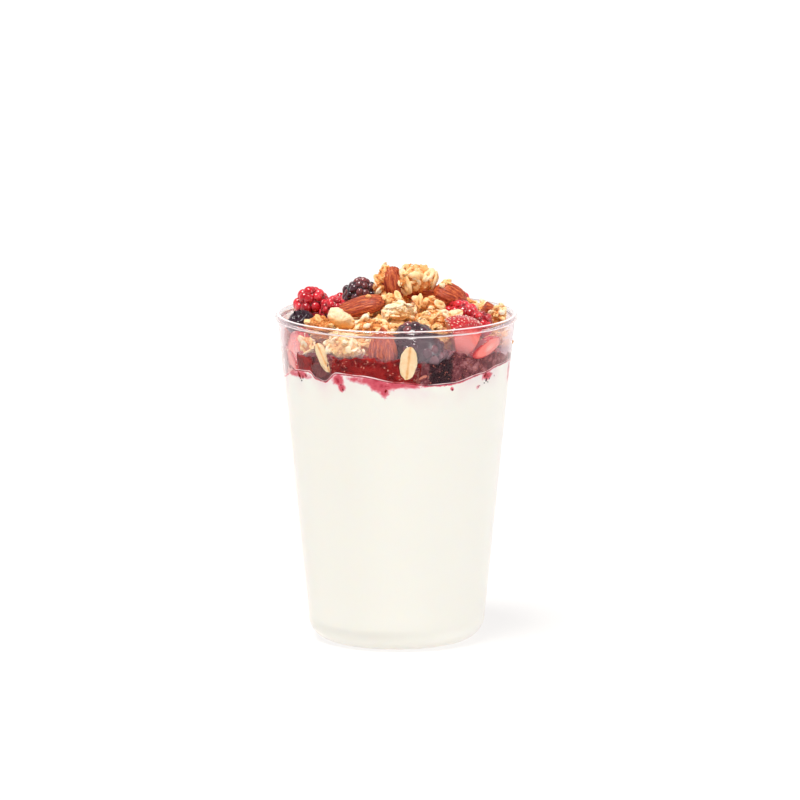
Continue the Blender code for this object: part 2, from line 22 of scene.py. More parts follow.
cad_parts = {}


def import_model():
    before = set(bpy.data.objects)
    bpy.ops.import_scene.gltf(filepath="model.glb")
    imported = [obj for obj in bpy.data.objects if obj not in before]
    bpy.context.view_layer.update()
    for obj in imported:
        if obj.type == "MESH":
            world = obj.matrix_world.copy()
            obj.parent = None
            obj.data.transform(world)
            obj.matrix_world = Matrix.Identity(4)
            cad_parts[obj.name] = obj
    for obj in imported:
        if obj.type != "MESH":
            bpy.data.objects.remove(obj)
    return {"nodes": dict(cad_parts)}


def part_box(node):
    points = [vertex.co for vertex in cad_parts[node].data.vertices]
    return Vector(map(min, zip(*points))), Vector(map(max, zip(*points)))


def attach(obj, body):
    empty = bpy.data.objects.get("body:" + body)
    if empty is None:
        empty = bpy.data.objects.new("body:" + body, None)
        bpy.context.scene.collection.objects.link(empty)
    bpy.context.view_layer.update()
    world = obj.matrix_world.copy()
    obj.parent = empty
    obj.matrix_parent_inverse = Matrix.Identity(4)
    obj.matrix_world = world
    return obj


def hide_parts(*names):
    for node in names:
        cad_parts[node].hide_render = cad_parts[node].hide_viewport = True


LOG = logging.getLogger("parfait")
MM = 0.001
MERGE = 0.0005  # in mm, on the bench
NEARLY = 0.999
TINY = 1e-6
UP = Vector((0.0, 0.0, 1.0))
DOWN = Vector((0.0, 0.0, -1.0))

Colour = tuple[float, float, float, float]
Triple = tuple[float, float, float]
Socket = bpy.types.NodeSocket
Source = Socket | float | Sequence[float]


class Slot(str, Enum):
    """The material slots."""

    CLEAR = "clear_wall"
    YOGURT = "yogurt"
    COMPOTE = "fruit_compote"
    GRANOLA = "granola"
    RASPBERRY = "raspberry"
    DARK_BERRY = "dark_berry"
    STRAWBERRY = "strawberry"
    ALMOND = "almond"
    OAT = "oat"
    NUT = "toasted_nut"


class Primitive(str, Enum):
    """The primitives that pieces start from, by their operator."""

    PLANE = "primitive_plane_add"
    CONE = "primitive_cone_add"
    UV_SPHERE = "primitive_uv_sphere_add"
    ICO_SPHERE = "primitive_ico_sphere_add"
    TORUS = "primitive_torus_add"


class Grain(str, Enum):
    """The kinds of relief that a surface can take."""

    CLOUDS = "CLOUDS"
    CELLS = "VORONOI"


def display(red: float, green: float, blue: float) -> Colour:
    """Turn display values into a linear colour.

    Args:
        red: Display red, 0 to 255.
        green: Display green, 0 to 255.
        blue: Display blue, 0 to 255.

    Returns:
        The linear colour, with full alpha.
    """
    levels = [value / 255 for value in (red, green, blue)]
    linear = [v / 12.92 if v <= 0.04045 else ((v + 0.055) / 1.055) ** 2.4 for v in levels]
    return (linear[0], linear[1], linear[2], 1.0)


def draws_for(name: str) -> random.Random:
    """Return the seeded random draws that belong to a name."""
    return random.Random(zlib.crc32(name.encode()))


def pick_nothing() -> None:
    """Deselect every object, so that an operator acts only on what is picked next."""
    if bpy.context.mode != "OBJECT":
        bpy.ops.object.mode_set(mode="OBJECT")
    bpy.ops.object.select_all(action="DESELECT")


# The bench: a piece being modelled, and fields of joined copies.


class Workpiece:
    """A mesh object on the bench, and the operators that shape it."""

    def __init__(self, obj: bpy.types.Object) -> None:
        """Take an object onto the bench."""
        self.obj = obj

    @classmethod
    def start(cls, name: str, primitive: Primitive, **sizes: float | tuple) -> "Workpiece":
        """Add a primitive at its size and place.

        Args:
            name: The object's name.
            primitive: Which primitive.
            sizes: What its operator takes.

        Returns:
            The piece.
        """
        pick_nothing()
        getattr(bpy.ops.mesh, primitive.value)(**sizes)
        obj = bpy.context.active_object
        obj.name = name
        obj.data.name = name
        piece = cls(obj)
        piece.apply_place()
        return piece

    def activate(self) -> None:
        """Make this piece the only one picked."""
        pick_nothing()
        self.obj.select_set(True)
        bpy.context.view_layer.objects.active = self.obj

    def apply_place(self) -> None:
        """Move the object's place, turn and scale into its mesh."""
        self.activate()
        bpy.ops.object.transform_apply(location=True, rotation=True, scale=True)

    @contextmanager
    def editing(self, pick: Callable[[Vector], bool] | None = None) -> Iterator[None]:
        """Open edit mode with some vertices picked.

        Args:
            pick: Says whether a vertex at a place is picked, or None for all.

        Yields:
            Nothing; edit mode is open until the block ends.
        """
        self.activate()
        bpy.ops.object.mode_set(mode="EDIT")
        bpy.ops.mesh.select_mode(type="VERT")
        bpy.ops.mesh.select_all(action="DESELECT" if pick else "SELECT")
        if pick:
            shape = bmesh.from_edit_mesh(self.obj.data)
            for vertex in shape.verts:
                vertex.select_set(pick(vertex.co))
            shape.select_flush(True)
            bmesh.update_edit_mesh(self.obj.data)
        yield
        bpy.ops.object.mode_set(mode="OBJECT")

    def pull(self, pick: Callable[[Vector], bool], move: Triple, reach: float) -> None:
        """Move the picked vertices, and those within reach of them by a smooth falloff.

        Args:
            pick: Says whether a vertex at a place is picked.
            move: How far, in mm.
            reach: The falloff's radius in mm.
        """
        with self.editing(pick):
            bpy.ops.transform.translate(
                value=move, use_proportional_edit=True, proportional_edit_falloff="SMOOTH",
                proportional_size=reach
            )

    def squeeze(self, pick: Callable[[Vector], bool], by: Triple, reach: float, centre: Triple) -> None:
        """Resize the picked vertices about a centre, and those within reach by a smooth falloff.

        Args:
            pick: Says whether a vertex at a place is picked.
            by: The factor along each axis.
            reach: The falloff's radius in mm.
            centre: What they are resized about.
        """
        with self.editing(pick):
            bpy.ops.transform.resize(
                value=by, center_override=centre, use_proportional_edit=True,
                proportional_edit_falloff="SMOOTH", proportional_size=reach
            )

    def modify(self, kind: str, **settings: float | str | bool | bpy.types.ID) -> None:
        """Add a modifier with these settings and apply it.

        Args:
            kind: The modifier's type.
            settings: Its properties.
        """
        self.activate()
        modifier = self.obj.modifiers.new(kind.lower(), kind)
        for name, value in settings.items():
            setattr(modifier, name, value)
        bpy.ops.object.modifier_apply(modifier=modifier.name)

    def relief(self, grain: Grain, size: float, depth: float, stretch: Triple = (1.0, 1.0, 1.0)) -> None:
        """Raise and sink the surface by a pattern.

        Args:
            grain: Which pattern.
            size: The pattern's size in mm.
            depth: From its lowest to its highest, in mm.
            stretch: How much longer the pattern is along each axis.
        """
        texture = bpy.data.textures.new("relief", grain.value)
        texture.noise_scale = size
        draws = draws_for(self.obj.name + grain.value)
        pick_nothing()
        bpy.ops.object.empty_add(location=[draws.uniform(-50.0, 50.0) for _ in range(3)])
        guide = bpy.context.active_object
        guide.scale = stretch
        self.modify(
            "DISPLACE", texture=texture, texture_coords="OBJECT", texture_coords_object=guide, strength=depth,
            mid_level=0.5
        )
        bpy.data.objects.remove(guide)
        bpy.data.textures.remove(texture)

    def bend(self, degrees: float, axis: str) -> None:
        """Bend the piece about one of its axes, by so much over its whole length."""
        self.modify("SIMPLE_DEFORM", deform_method="BEND", angle=math.radians(degrees), deform_axis=axis)

    def cut(self, point: Triple, normal: Triple) -> None:
        """Cut along a plane, drop the side that the normal points to, and close the cut."""
        with self.editing():
            bpy.ops.mesh.bisect(
                plane_co=point, plane_no=normal, use_fill=True, clear_outer=True, threshold=MERGE
            )

    def tidy_faces(self) -> None:
        """Merge doubled vertices and turn every face outwards."""
        with self.editing():
            bpy.ops.mesh.remove_doubles(threshold=MERGE)
            bpy.ops.mesh.normals_make_consistent(inside=False)

    def points(self) -> np.ndarray:
        """Read where the vertices are.

        Returns:
            Their places, one row each.
        """
        places = np.empty(len(self.obj.data.vertices) * 3, np.float32)
        self.obj.data.vertices.foreach_get("co", places)
        return places.reshape(-1, 3).astype(float)

    def move_points(self, places: np.ndarray) -> None:
        """Give every vertex a new place."""
        self.obj.data.vertices.foreach_set("co", places.astype(np.float32).ravel())
        self.obj.data.update()

    def fit(self, size: Triple) -> None:
        """Centre the piece and stretch it to a size.

        Args:
            size: Its box's extents.
        """
        places = self.points()
        low, high = places.min(0), places.max(0)
        self.move_points((places - (low + high) / 2) * (np.array(size) / (high - low)))

    def turn(self, degrees: Triple) -> None:
        """Turn the piece about the origin, in X, Y, Z order."""
        self.obj.rotation_euler = Euler([math.radians(value) for value in degrees])
        self.apply_place()

    def paint(self, name: str, values: np.ndarray) -> None:
        """Store one number, or three, for each vertex.

        Args:
            name: The attribute's name.
            values: An array with one row for each vertex.
        """
        kind, field_name = ("FLOAT_VECTOR", "vector") if values.ndim == 2 else ("FLOAT", "value")
        attribute = self.obj.data.attributes.new(name, kind, "POINT")
        attribute.data.foreach_set(field_name, values.astype(np.float32).ravel())

    def deepen(self, name: str, more: np.ndarray) -> None:
        """Add to a number that each vertex has stored.

        Args:
            name: The attribute's name.
            more: What is added, one for each vertex.
        """
        attribute = self.obj.data.attributes[name]
        kept = np.zeros(len(self.obj.data.vertices))
        attribute.data.foreach_get("value", kept)
        attribute.data.foreach_set("value", kept + more)

    def mark_own(self) -> None:
        """Store each vertex's place on the bench, which patterns on the surface follow."""
        self.paint("own", self.points())

    def dress(self, material: bpy.types.Material) -> None:
        """Give the piece a finish and a smooth surface.

        Args:
            material: The finish.
        """
        self.obj.data.materials.append(material)
        self.activate()
        bpy.ops.object.shade_smooth()

    def to_row_frame(self, offset: Vector = Vector()) -> None:
        """Bring the piece from millimetres to metres, and move it.

        Args:
            offset: The move in metres.
        """
        self.obj.scale = (MM, MM, MM)
        self.obj.location = offset
        self.apply_place()

    def finish(self, material: bpy.types.Material, slot: Slot, *nodes: str) -> None:
        """Dress a piece that was modelled in its place, and hand it over.

        Args:
            material: Its finish.
            slot: The material slot.
            nodes: The CAD nodes that it stands for.
        """
        self.dress(material)
        self.to_row_frame()
        self.hand_over(slot, *nodes)

    def seat(self, node: str, turn: Triple) -> None:
        """Turn the piece, bring it to metres, and put it in the middle of a CAD node's box.

        Args:
            node: The CAD node that it stands for.
            turn: Degrees about X, Y and Z.
        """
        self.turn(turn)
        places = self.points()
        low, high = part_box(node)
        middle = Vector((places.min(0) + places.max(0)) / 2) * MM
        self.to_row_frame((low + high) / 2 - middle)

    def hand_over(self, slot: Slot, *nodes: str) -> None:
        """Let the finished piece ride in the frame, in place of its CAD nodes.

        Args:
            slot: Not used.
            nodes: The CAD nodes that it stands for.
        """
        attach(self.obj, "root")
        if nodes:
            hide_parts(*nodes)
        LOG.info("%s: %d faces", self.obj.name, len(self.obj.data.polygons))


class Template:
    """A small shape that is modelled once and copied many times."""

    def __init__(self, piece: Workpiece) -> None:
        """Take the mesh of a finished piece, and clear the piece from the bench.

        Args:
            piece: The piece, in mm.
        """
        mesh = piece.obj.data
        self.places = piece.points()
        self.corners = np.empty(len(mesh.loops), np.int32)
        mesh.loops.foreach_get("vertex_index", self.corners)
        self.starts = np.empty(len(mesh.polygons), np.int32)
        mesh.polygons.foreach_get("loop_start", self.starts)
        bpy.data.objects.remove(piece.obj)
        bpy.data.meshes.remove(mesh)


class CopyField:
    """Copies of templates, gathered into one mesh."""

    pattern_shift: float = 3.0  # keeps the pattern on one copy unlike the next one's

    def __init__(self) -> None:
        """Start with no copies."""
        self.copies: list[tuple[Template, np.ndarray, float]] = []

    def add(self, template: Template, matrix: Matrix, tone: float) -> None:
        """Add one copy: where it goes in mm, and how dark or toasted it is, 0 to 1."""
        self.copies.append((template, np.array(matrix), tone))

    def add_body(self, piece: Workpiece, tone: float = 0.0) -> None:
        """Add a piece itself, where it stands."""
        self.add(Template(piece), Matrix.Identity(4), tone)

    def build(self, name: str) -> Workpiece:
        """Make the one mesh of all the copies.

        Args:
            name: The object's name.

        Returns:
            The piece, in mm, with its own, tone and rise attributes.
        """
        places, owns, tones, rises, corners, starts = [], [], [], [], [], []
        vertex_count = corner_count = 0
        for template, matrix, tone in self.copies:
            shape, move = template.places, matrix[:3, 3]
            places.append(shape @ matrix[:3, :3].T + move)
            owns.append(shape + move * self.pattern_shift)
            tones.append(np.full(len(shape), tone))
            low, high = shape[:, 2].min(), shape[:, 2].max()
            # How high each vertex stands in its copy, by which the drupelet finish paints shade in the gaps.
            rises.append((shape[:, 2] - low) / (high - low))
            corners.append(template.corners + vertex_count)
            starts.append(template.starts + corner_count)
            vertex_count += len(shape)
            corner_count += len(template.corners)
        mesh = bpy.data.meshes.new(name)
        mesh.vertices.add(vertex_count)
        mesh.vertices.foreach_set("co", np.concatenate(places).astype(np.float32).ravel())
        mesh.loops.add(corner_count)
        mesh.loops.foreach_set("vertex_index", np.concatenate(corners))
        mesh.polygons.add(sum(map(len, starts)))
        mesh.polygons.foreach_set("loop_start", np.concatenate(starts))
        mesh.update(calc_edges=True)
        obj = bpy.data.objects.new(name, mesh)
        bpy.context.scene.collection.objects.link(obj)
        piece = Workpiece(obj)
        for attribute, values in (("own", owns), ("tone", tones), ("rise", rises)):
            piece.paint(attribute, np.concatenate(values))
        return piece


def placing(place: Vector, normal: Vector, spin: float, scale: float) -> Matrix:
    """Return the matrix of a copy at a place in mm, its +Z along the normal, spun about that and scaled."""
    aim = normal.to_track_quat("Z", "Y").to_matrix().to_4x4()
    return Matrix.Translation(place) @ aim @ Matrix.Rotation(spin, 4, "Z") @ Matrix.Scale(scale, 4)


def spin_outline(name: str, outline: Sequence[tuple[float, float]], steps: int) -> Workpiece:
    """Turn an outline of radius and height round the Z axis.

    Args:
        name: The object's name.
        outline: The points, each joined to the next.
        steps: How many steps make the full turn.

    Returns:
        The turned piece, with its faces outwards.
    """
    piece = Workpiece.start(name, Primitive.PLANE, size=1.0)
    with piece.editing():
        bpy.ops.mesh.merge(type="CENTER")
        bpy.ops.transform.translate(value=(outline[0][0], 0.0, outline[0][1]))
        for here, there in zip(outline, outline[1:]):
            step = (there[0] - here[0], 0.0, there[1] - here[1])
            bpy.ops.mesh.extrude_region_move(TRANSFORM_OT_translate={"value": step})
        bpy.ops.mesh.select_all(action="SELECT")
        bpy.ops.mesh.spin(steps=steps, angle=math.tau, center=(0.0, 0.0, 0.0), axis=(0.0, 0.0, 1.0))
    piece.tidy_faces()
    return piece


# Finishes.


class NodeBench:
    """A node tree, and short ways to add to it."""

    def __init__(self, tree: bpy.types.NodeTree) -> None:
        """Take a tree onto the bench."""
        self.tree = tree

    def add(self, kind: str, **settings: float | str | bool) -> bpy.types.Node:
        """Add a node.

        Args:
            kind: Its type.
            settings: Its properties.

        Returns:
            The node.
        """
        node = self.tree.nodes.new(kind)
        for name, value in settings.items():
            setattr(node, name, value)
        return node

    def feed(self, target: Socket, source: Source) -> None:
        """Link a socket to another, or set it to a value.

        Args:
            target: The socket that is fed.
            source: What feeds it.
        """
        if isinstance(source, bpy.types.NodeSocket):
            self.tree.links.new(source, target)
        else:
            target.default_value = source

    def node(
        self, kind: str, output: int | str, inputs: dict[int | str, Source], **settings: str | bool
    ) -> Socket:
        """Add a node and feed its inputs.

        Args:
            kind: Its type.
            output: The output that is wanted.
            inputs: What feeds each input.
            settings: Its properties.

        Returns:
            The output.
        """
        node = self.add(kind, **settings)
        for socket, source in inputs.items():
            self.feed(node.inputs[socket], source)
        return node.outputs[output]

    def noise(self, vector: Socket, scale: float, detail: float = 3.0, roughness: float = 0.5) -> Socket:
        """Add a noise.

        Args:
            vector: Where it is read.
            scale: How many lumps it has to a unit.
            detail: How many finer layers it has.
            roughness: How strong these are.

        Returns:
            The noise, 0 to 1.
        """
        inputs = {"Vector": vector, "Scale": scale, "Detail": detail, "Roughness": roughness}
        return self.node("ShaderNodeTexNoise", "Fac", inputs)

    def stretch(self, vector: Socket, scale: Triple) -> Socket:
        """Scale a pattern's coordinates along each axis."""
        return self.node("ShaderNodeMapping", "Vector", {"Vector": vector, "Scale": scale})

    def maths(self, operation: str, first: Socket | float, second: Socket | float) -> Socket:
        """Return the result of an operation on two numbers, kept from 0 to 1."""
        return self.node("ShaderNodeMath", 0, {0: first, 1: second}, operation=operation, use_clamp=True)

    def times(self, first: Socket, second: Socket | float) -> Socket:
        """Return two numbers multiplied."""
        return self.maths("MULTIPLY", first, second)

    def plus(self, first: Socket, second: Socket | float) -> Socket:
        """Return two numbers added."""
        return self.maths("ADD", first, second)

    def minus(self, first: Socket, second: Socket | float) -> Socket:
        """Return the first number less the second."""
        return self.maths("SUBTRACT", first, second)

    def grade(
        self, factor: Socket, low: float, high: float, ends: tuple[float, float] = (0.0, 1.0)
    ) -> Socket:
        """Add a smooth step.

        Args:
            factor: The number that is graded.
            low: Where the step starts.
            high: Where it is complete.
            ends: The values before and after it.

        Returns:
            The graded number.
        """
        inputs = {"Value": factor, "From Min": low, "From Max": high, "To Min": ends[0], "To Max": ends[1]}
        return self.node("ShaderNodeMapRange", "Result", inputs, interpolation_type="SMOOTHSTEP")

    def mix(self, factor: Socket | float, first: Socket | Colour, second: Socket | Colour) -> Socket:
        """Return the first colour, or the second as the factor nears 1."""
        return self.node("ShaderNodeMix", 2, {"Factor": factor, 6: first, 7: second}, data_type="RGBA")

    def ramp(self, factor: Socket, *stops: tuple[float, Colour]) -> Socket:
        """Add a colour ramp.

        Args:
            factor: Where the ramp is read.
            stops: Its positions and colours.

        Returns:
            The colour.
        """
        node = self.add("ShaderNodeValToRGB")
        elements = node.color_ramp.elements
        while len(elements) < len(stops):
            elements.new(1.0)
        for element, (position, colour) in zip(elements, stops):
            element.position, element.color = position, colour
        self.feed(node.inputs["Fac"], factor)
        return node.outputs["Color"]


class Finish(NodeBench):
    """A material, whose nodes each kind lays round its Principled shader."""

    name: str

    def __init__(self, **changes: str | float | Colour | Triple) -> None:
        """Mix the finish.

        Args:
            changes: The values that differ from the kind's own.
        """
        for key, value in changes.items():
            setattr(self, key, value)
        self.material = bpy.data.materials.new(self.name)
        self.material.use_nodes = True
        super().__init__(self.material.node_tree)
        self.shader = self.tree.nodes["Principled BSDF"]
        self.output = self.tree.nodes["Material Output"]
        self.lay()

    def lay(self) -> None:
        """Lay the nodes."""
        raise NotImplementedError

    def scatter(self, weight: float, radius: Triple, scale: float) -> None:
        """Let light spread under the surface: how much, how far for each colour, and at what scale."""
        self.settings(Subsurface_Weight=weight, Subsurface_Radius=radius, Subsurface_Scale=scale)

    def settings(self, **values: float | Sequence[float]) -> None:
        """Set values on the shader's own sockets, named with underscores for spaces."""
        for name, value in values.items():
            self.shader.inputs[name.replace("_", " ")].default_value = value

    def vector(self, name: str) -> Socket:
        """Return a vector that the mesh stores for each vertex."""
        return self.add("ShaderNodeAttribute", attribute_name=name).outputs["Vector"]

    def value(self, name: str) -> Socket:
        """Return a number that the mesh stores for each vertex."""
        return self.add("ShaderNodeAttribute", attribute_name=name).outputs["Fac"]

    def place(self) -> Socket:
        """Return the surface's place in the object."""
        return self.add("ShaderNodeTexCoord").outputs["Object"]

    def colour(self, source: Socket) -> None:
        """Give the shader its colour."""
        self.feed(self.shader.inputs["Base Color"], source)

    def bump(self, height: Socket, distance: float, strength: float) -> None:
        """Let a pattern tilt the surface, on top of what tilts it already.

        Args:
            height: The pattern.
            distance: Its depth in metres.
            strength: How much of it is seen.
        """
        inputs = {"Height": height, "Distance": distance, "Strength": strength}
        normal = self.shader.inputs["Normal"]
        if normal.is_linked:
            inputs["Normal"] = normal.links[0].from_socket
        self.feed(normal, self.node("ShaderNodeBump", "Normal", inputs))


class ClearWall(Finish):
    """The cup's clear wall, with a faint haze where nothing wet touches it inside: partly mist, partly a
    painted reflection. It also carries painted highlight lines on the rolled rim, and a dark sheen that
    paints shade along its grazing edges.
    """

    name: str = "clear_wall"
    tint: Colour = (0.985, 0.98, 0.98, 1.0)
    # Haze colour: mist on the inside, which also stands in for the wall's hazy reflection, a painted
    # reflection.
    haze_and_reflection: Colour = (0.91, 0.65, 0.75, 1.0)
    haze_and_reflection_share: float = 0.155
    edge_tint: Colour = (0.84, 0.72, 0.76, 1.0)
    edge_density: float = 36.0
    # Painted highlight: a near-white layer painted on the rolled rim in bands, standing in for its bright
    # highlight lines.
    frost: Colour = (0.97, 0.9, 0.9, 1.0)
    frost_share: float = 0.82
    shine: Colour = (0.4, 0.4, 0.4, 1.0)
    # Painted shade: a dark sheen tint that darkens the wall along its grazing edges, as a thin outline.
    outline: Colour = (0.4, 0.27, 0.24, 1.0)
    ior: float = 1.37
    roughness: float = 0.015

    def lay(self) -> None:
        """Lay the nodes."""
        self.settings(Base_Color=self.tint, Roughness=self.roughness, IOR=self.ior, Transmission_Weight=1.0)
        # The dark sheen paints shade along the grazing edges.
        self.settings(
            Specular_Tint=self.shine, Sheen_Weight=1.0, Sheen_Roughness=0.22, Sheen_Tint=self.outline
        )
        place = self.place()
        mottle = self.grade(self.noise(place, 160.0, 4.0), 0.25, 0.75)
        speckle = self.grade(self.noise(place, 1400.0, 2.0), 0.35, 0.65)
        patches = self.plus(self.times(mottle, 0.45), self.times(speckle, 0.3))
        spread = self.times(self.plus(patches, 0.4), self.haze_and_reflection_share)
        # Painted highlight lines on the rolled rim, mixed in as a near-white diffuse layer.
        frost = self.times(self.value("frost"), self.frost_share)
        share = self.plus(self.times(self.value("film"), spread), frost)
        colour = self.mix(self.value("frost"), self.haze_and_reflection, self.frost)
        haze_and_highlights = self.node("ShaderNodeBsdfDiffuse", 0, {"Color": colour})
        surface = self.node("ShaderNodeMixShader", 0, {0: share, 1: self.shader.outputs[0], 2: haze_and_highlights})
        through = self.node("ShaderNodeBsdfTransparent", 0, {"Color": self.tint})
        ray = self.add("ShaderNodeLightPath")
        for kind in ("Is Diffuse Ray", "Is Shadow Ray"):
            surface = self.node("ShaderNodeMixShader", 0, {0: ray.outputs[kind], 1: surface, 2: through})
        self.feed(self.output.inputs["Surface"], surface)
        inputs = {"Color": self.edge_tint, "Density": self.edge_density}
        self.feed(self.output.inputs["Volume"], self.node("ShaderNodeVolumeAbsorption", 0, inputs))


class YogurtCream(Finish):
    """Creamy white yogurt, stained pink where fruit juice has run into it."""

    name: str = "yogurt_cream"
    cream: Colour = display(244, 244, 235)
    blush: Colour = display(240, 224, 224)
    pale_pink: Colour = display(238, 186, 192)
    pink: Colour = display(216, 92, 108)
    red: Colour = display(176, 30, 52)

    def lay(self) -> None:
        """Lay the nodes."""
        place = self.place()
        cloud = self.grade(self.noise(place, 620.0, 6.0, 0.7), 0.2, 0.8)
        wisps = self.grade(self.noise(place, 190.0, 4.0, 0.6), 0.3, 0.7)
        broken = self.plus(self.times(cloud, 0.5), self.times(wisps, 0.36))
        ragged = self.minus(self.value("stain"), broken)
        veil = self.times(self.value("blush"), self.grade(self.noise(place, 120.0, 4.0), 0.3, 0.7))
        base = self.mix(veil, self.cream, self.blush)
        tinted = self.mix(self.grade(ragged, 0.0, 0.16), base, self.pale_pink)
        stained = self.mix(self.grade(ragged, 0.08, 0.46), tinted, self.pink)
        self.colour(self.mix(self.grade(ragged, 0.55, 1.0), stained, self.red))
        self.scatter(0.35, (1.0, 0.8, 0.6), 0.001)
        self.settings(Roughness=0.42, IOR=1.35, Specular_IOR_Level=0.1)
        self.bump(self.noise(place, 300.0, 2.0), 0.00004, 0.3)


class Compote(Finish):
    """Wet crushed fruit, from jam red to a dark purple as its tone grows, with painted highlights on its
    raised lumps and painted shade in its hollows.
    """

    name: str = "wet_compote"
    jam_shade: Colour = display(78, 0, 2)
    jam: Colour = display(136, 10, 12)
    jam_highlight: Colour = display(186, 42, 34)
    purple_shade: Colour = display(50, 16, 26)
    purple: Colour = display(124, 58, 64)
    purple_highlight: Colour = display(204, 138, 138)
    black_shade: Colour = display(26, 8, 16)
    black: Colour = display(62, 26, 34)

    def lay(self) -> None:
        """Lay the nodes."""
        place = self.place()
        # Painted highlight and shade: the colour follows the lumps' height, lighter on top and darker in the
        # hollows, besides the pulp's own mottling.
        pulp = self.noise(place, 380.0, 8.0, 0.74)
        jam = self.ramp(pulp, (0.36, self.jam_shade), (0.5, self.jam), (0.66, self.jam_highlight))
        purple = self.ramp(pulp, (0.34, self.purple_shade), (0.5, self.purple), (0.68, self.purple_highlight))
        black = self.ramp(pulp, (0.4, self.black_shade), (0.66, self.black))
        shift = self.times(self.noise(place, 260.0, 4.0, 0.7), 0.5)
        edge = self.plus(self.times(self.value("tone"), 0.7), shift)
        fruit = self.mix(self.grade(edge, 0.42, 0.54), jam, purple)
        self.colour(self.mix(self.grade(edge, 0.78, 0.94), fruit, black))
        self.scatter(0.15, (1.0, 0.25, 0.2), 0.001)
        self.settings(Roughness=0.3, IOR=1.4, Specular_IOR_Level=0.12)
        self.bump(pulp, 0.0003, 0.5)


class JuiceGloss(Finish):
    """Thin pink juice under a glossy coat, its palest streaks a painted highlight."""

    name: str = "juice_gloss"
    # Painted highlight: the pale streaks stand in for the light caught along the juice line.
    pale: Colour = display(250, 206, 208)
    pink: Colour = display(226, 104, 112)
    red: Colour = display(176, 34, 46)

    def lay(self) -> None:
        """Lay the nodes."""
        streaks = self.noise(self.place(), 170.0, 4.0, 0.6)
        self.colour(self.ramp(streaks, (0.3, self.red), (0.4, self.pink), (0.5, self.pale)))
        self.settings(Roughness=0.2, IOR=1.36, Coat_Weight=0.7, Coat_Roughness=0.05)
        self.scatter(0.2, (1.0, 0.4, 0.4), 0.001)


class DrupeletSkin(Finish):
    """The glossy skin of a berry made of drupelets, with painted shade: each drupelet darker towards its
    base, in the gaps.
    """

    name: str
    # The deep colour is also the painted shade in the gaps between drupelets.
    deep: Colour
    middle: Colour
    light: Colour
    glow: Triple
    bloom: float
    roughness: float

    def lay(self) -> None:
        """Lay the nodes."""
        own = self.vector("own")
        mottle = self.times(self.noise(own, 0.9, 3.0), 0.5)
        tone = self.plus(self.times(self.value("tone"), 0.5), mottle)
        # Painted shade: darker towards each drupelet's base, in the gaps.
        tone = self.times(tone, self.grade(self.value("rise"), 0.3, 0.85))
        self.colour(self.ramp(tone, (0.1, self.deep), (0.46, self.middle), (0.85, self.light)))
        self.scatter(0.3, self.glow, 0.0012)
        self.settings(
            Roughness=self.roughness, IOR=1.4, Specular_IOR_Level=0.25, Coat_Weight=1.0, Coat_Roughness=0.2,
            Coat_IOR=1.55
        )
        self.settings(Sheen_Weight=self.bloom, Sheen_Roughness=0.4)
        self.bump(self.noise(own, 2.2, 2.0), 0.0002, 0.35)


class SmoothSkin(Finish):
    """Blackish purple berry skin, wrinkled along its length, with a grey bloom in patches."""

    name: str = "smooth_berry_skin"
    deep: Colour = display(24, 8, 18)
    skin: Colour = display(58, 24, 44)
    bloom: Colour = display(124, 84, 112)

    def lay(self) -> None:
        """Lay the nodes."""
        own = self.vector("own")
        folds = self.noise(self.stretch(own, (1.0, 1.0, 0.22)), 1.3, 3.0)
        dusted = self.grade(self.noise(own, 0.35, 4.0, 0.6), 0.52, 0.8)
        skin = self.ramp(folds, (0.3, self.deep), (0.7, self.skin))
        self.colour(self.mix(self.times(dusted, 0.24), skin, self.bloom))
        self.settings(Roughness=0.3, IOR=1.4, Coat_Weight=0.6, Coat_Roughness=0.08, Specular_IOR_Level=0.2)
        self.scatter(0.1, (0.6, 0.2, 0.3), 0.001)
        self.bump(folds, 0.0005, 0.7)


class StrawberryFinish(Finish):
    """Red seeded skin, and wet flesh that is pale in the middle with fine veins."""

    name: str = "strawberry"
    skin: Colour = display(190, 18, 30)
    rim: Colour = display(224, 62, 60)
    flesh: Colour = display(255, 132, 120)
    heart: Colour = display(255, 196, 182)
    seed: Colour = display(255, 236, 214)

    def lay(self) -> None:
        """Lay the nodes."""
        own = self.vector("own")
        veins = self.noise(self.stretch(own, (1.0, 1.0, 0.25)), 1.7, 3.0, 0.6)
        shift = self.times(veins, 0.14)
        depth = self.plus(self.value("depth"), shift)
        body = self.ramp(
            depth, (0.08, self.skin), (0.17, self.rim), (0.32, self.flesh), (0.62, self.flesh),
            (0.95, self.heart)
        )
        self.colour(self.mix(self.value("tone"), body, self.seed))
        self.scatter(0.3, (1.0, 0.35, 0.3), 0.0015)
        self.settings(Roughness=0.3, IOR=1.38, Coat_Weight=0.5, Coat_Roughness=0.08)
        self.bump(veins, 0.0003, 0.4)


class Granola(Finish):
    """Toasted oats and crumbs under a thin honey glaze."""

    name: str = "granola"
    pale: Colour = display(255, 243, 218)
    golden: Colour = display(254, 208, 146)
    toasted: Colour = display(238, 154, 82)
    dark: Colour = display(184, 94, 40)

    def lay(self) -> None:
        """Lay the nodes."""
        own = self.vector("own")
        mottle = self.times(self.noise(own, 0.8, 4.0, 0.6), 0.7)
        tone = self.plus(self.times(self.value("tone"), 0.85), mottle)
        tone = self.minus(tone, 0.22)
        body = self.ramp(tone, (0.05, self.pale), (0.38, self.golden), (0.7, self.toasted), (0.98, self.dark))
        fleck = self.grade(self.noise(own, 3.4, 2.0), 0.66, 0.78)
        self.colour(self.mix(self.times(fleck, 0.4), body, self.toasted))
        self.scatter(0.2, (1.0, 0.6, 0.3), 0.001)
        self.settings(Roughness=0.58, IOR=1.4, Coat_Weight=0.12, Coat_Roughness=0.25)
        self.bump(self.noise(own, 2.6, 3.0, 0.6), 0.0003, 0.6)


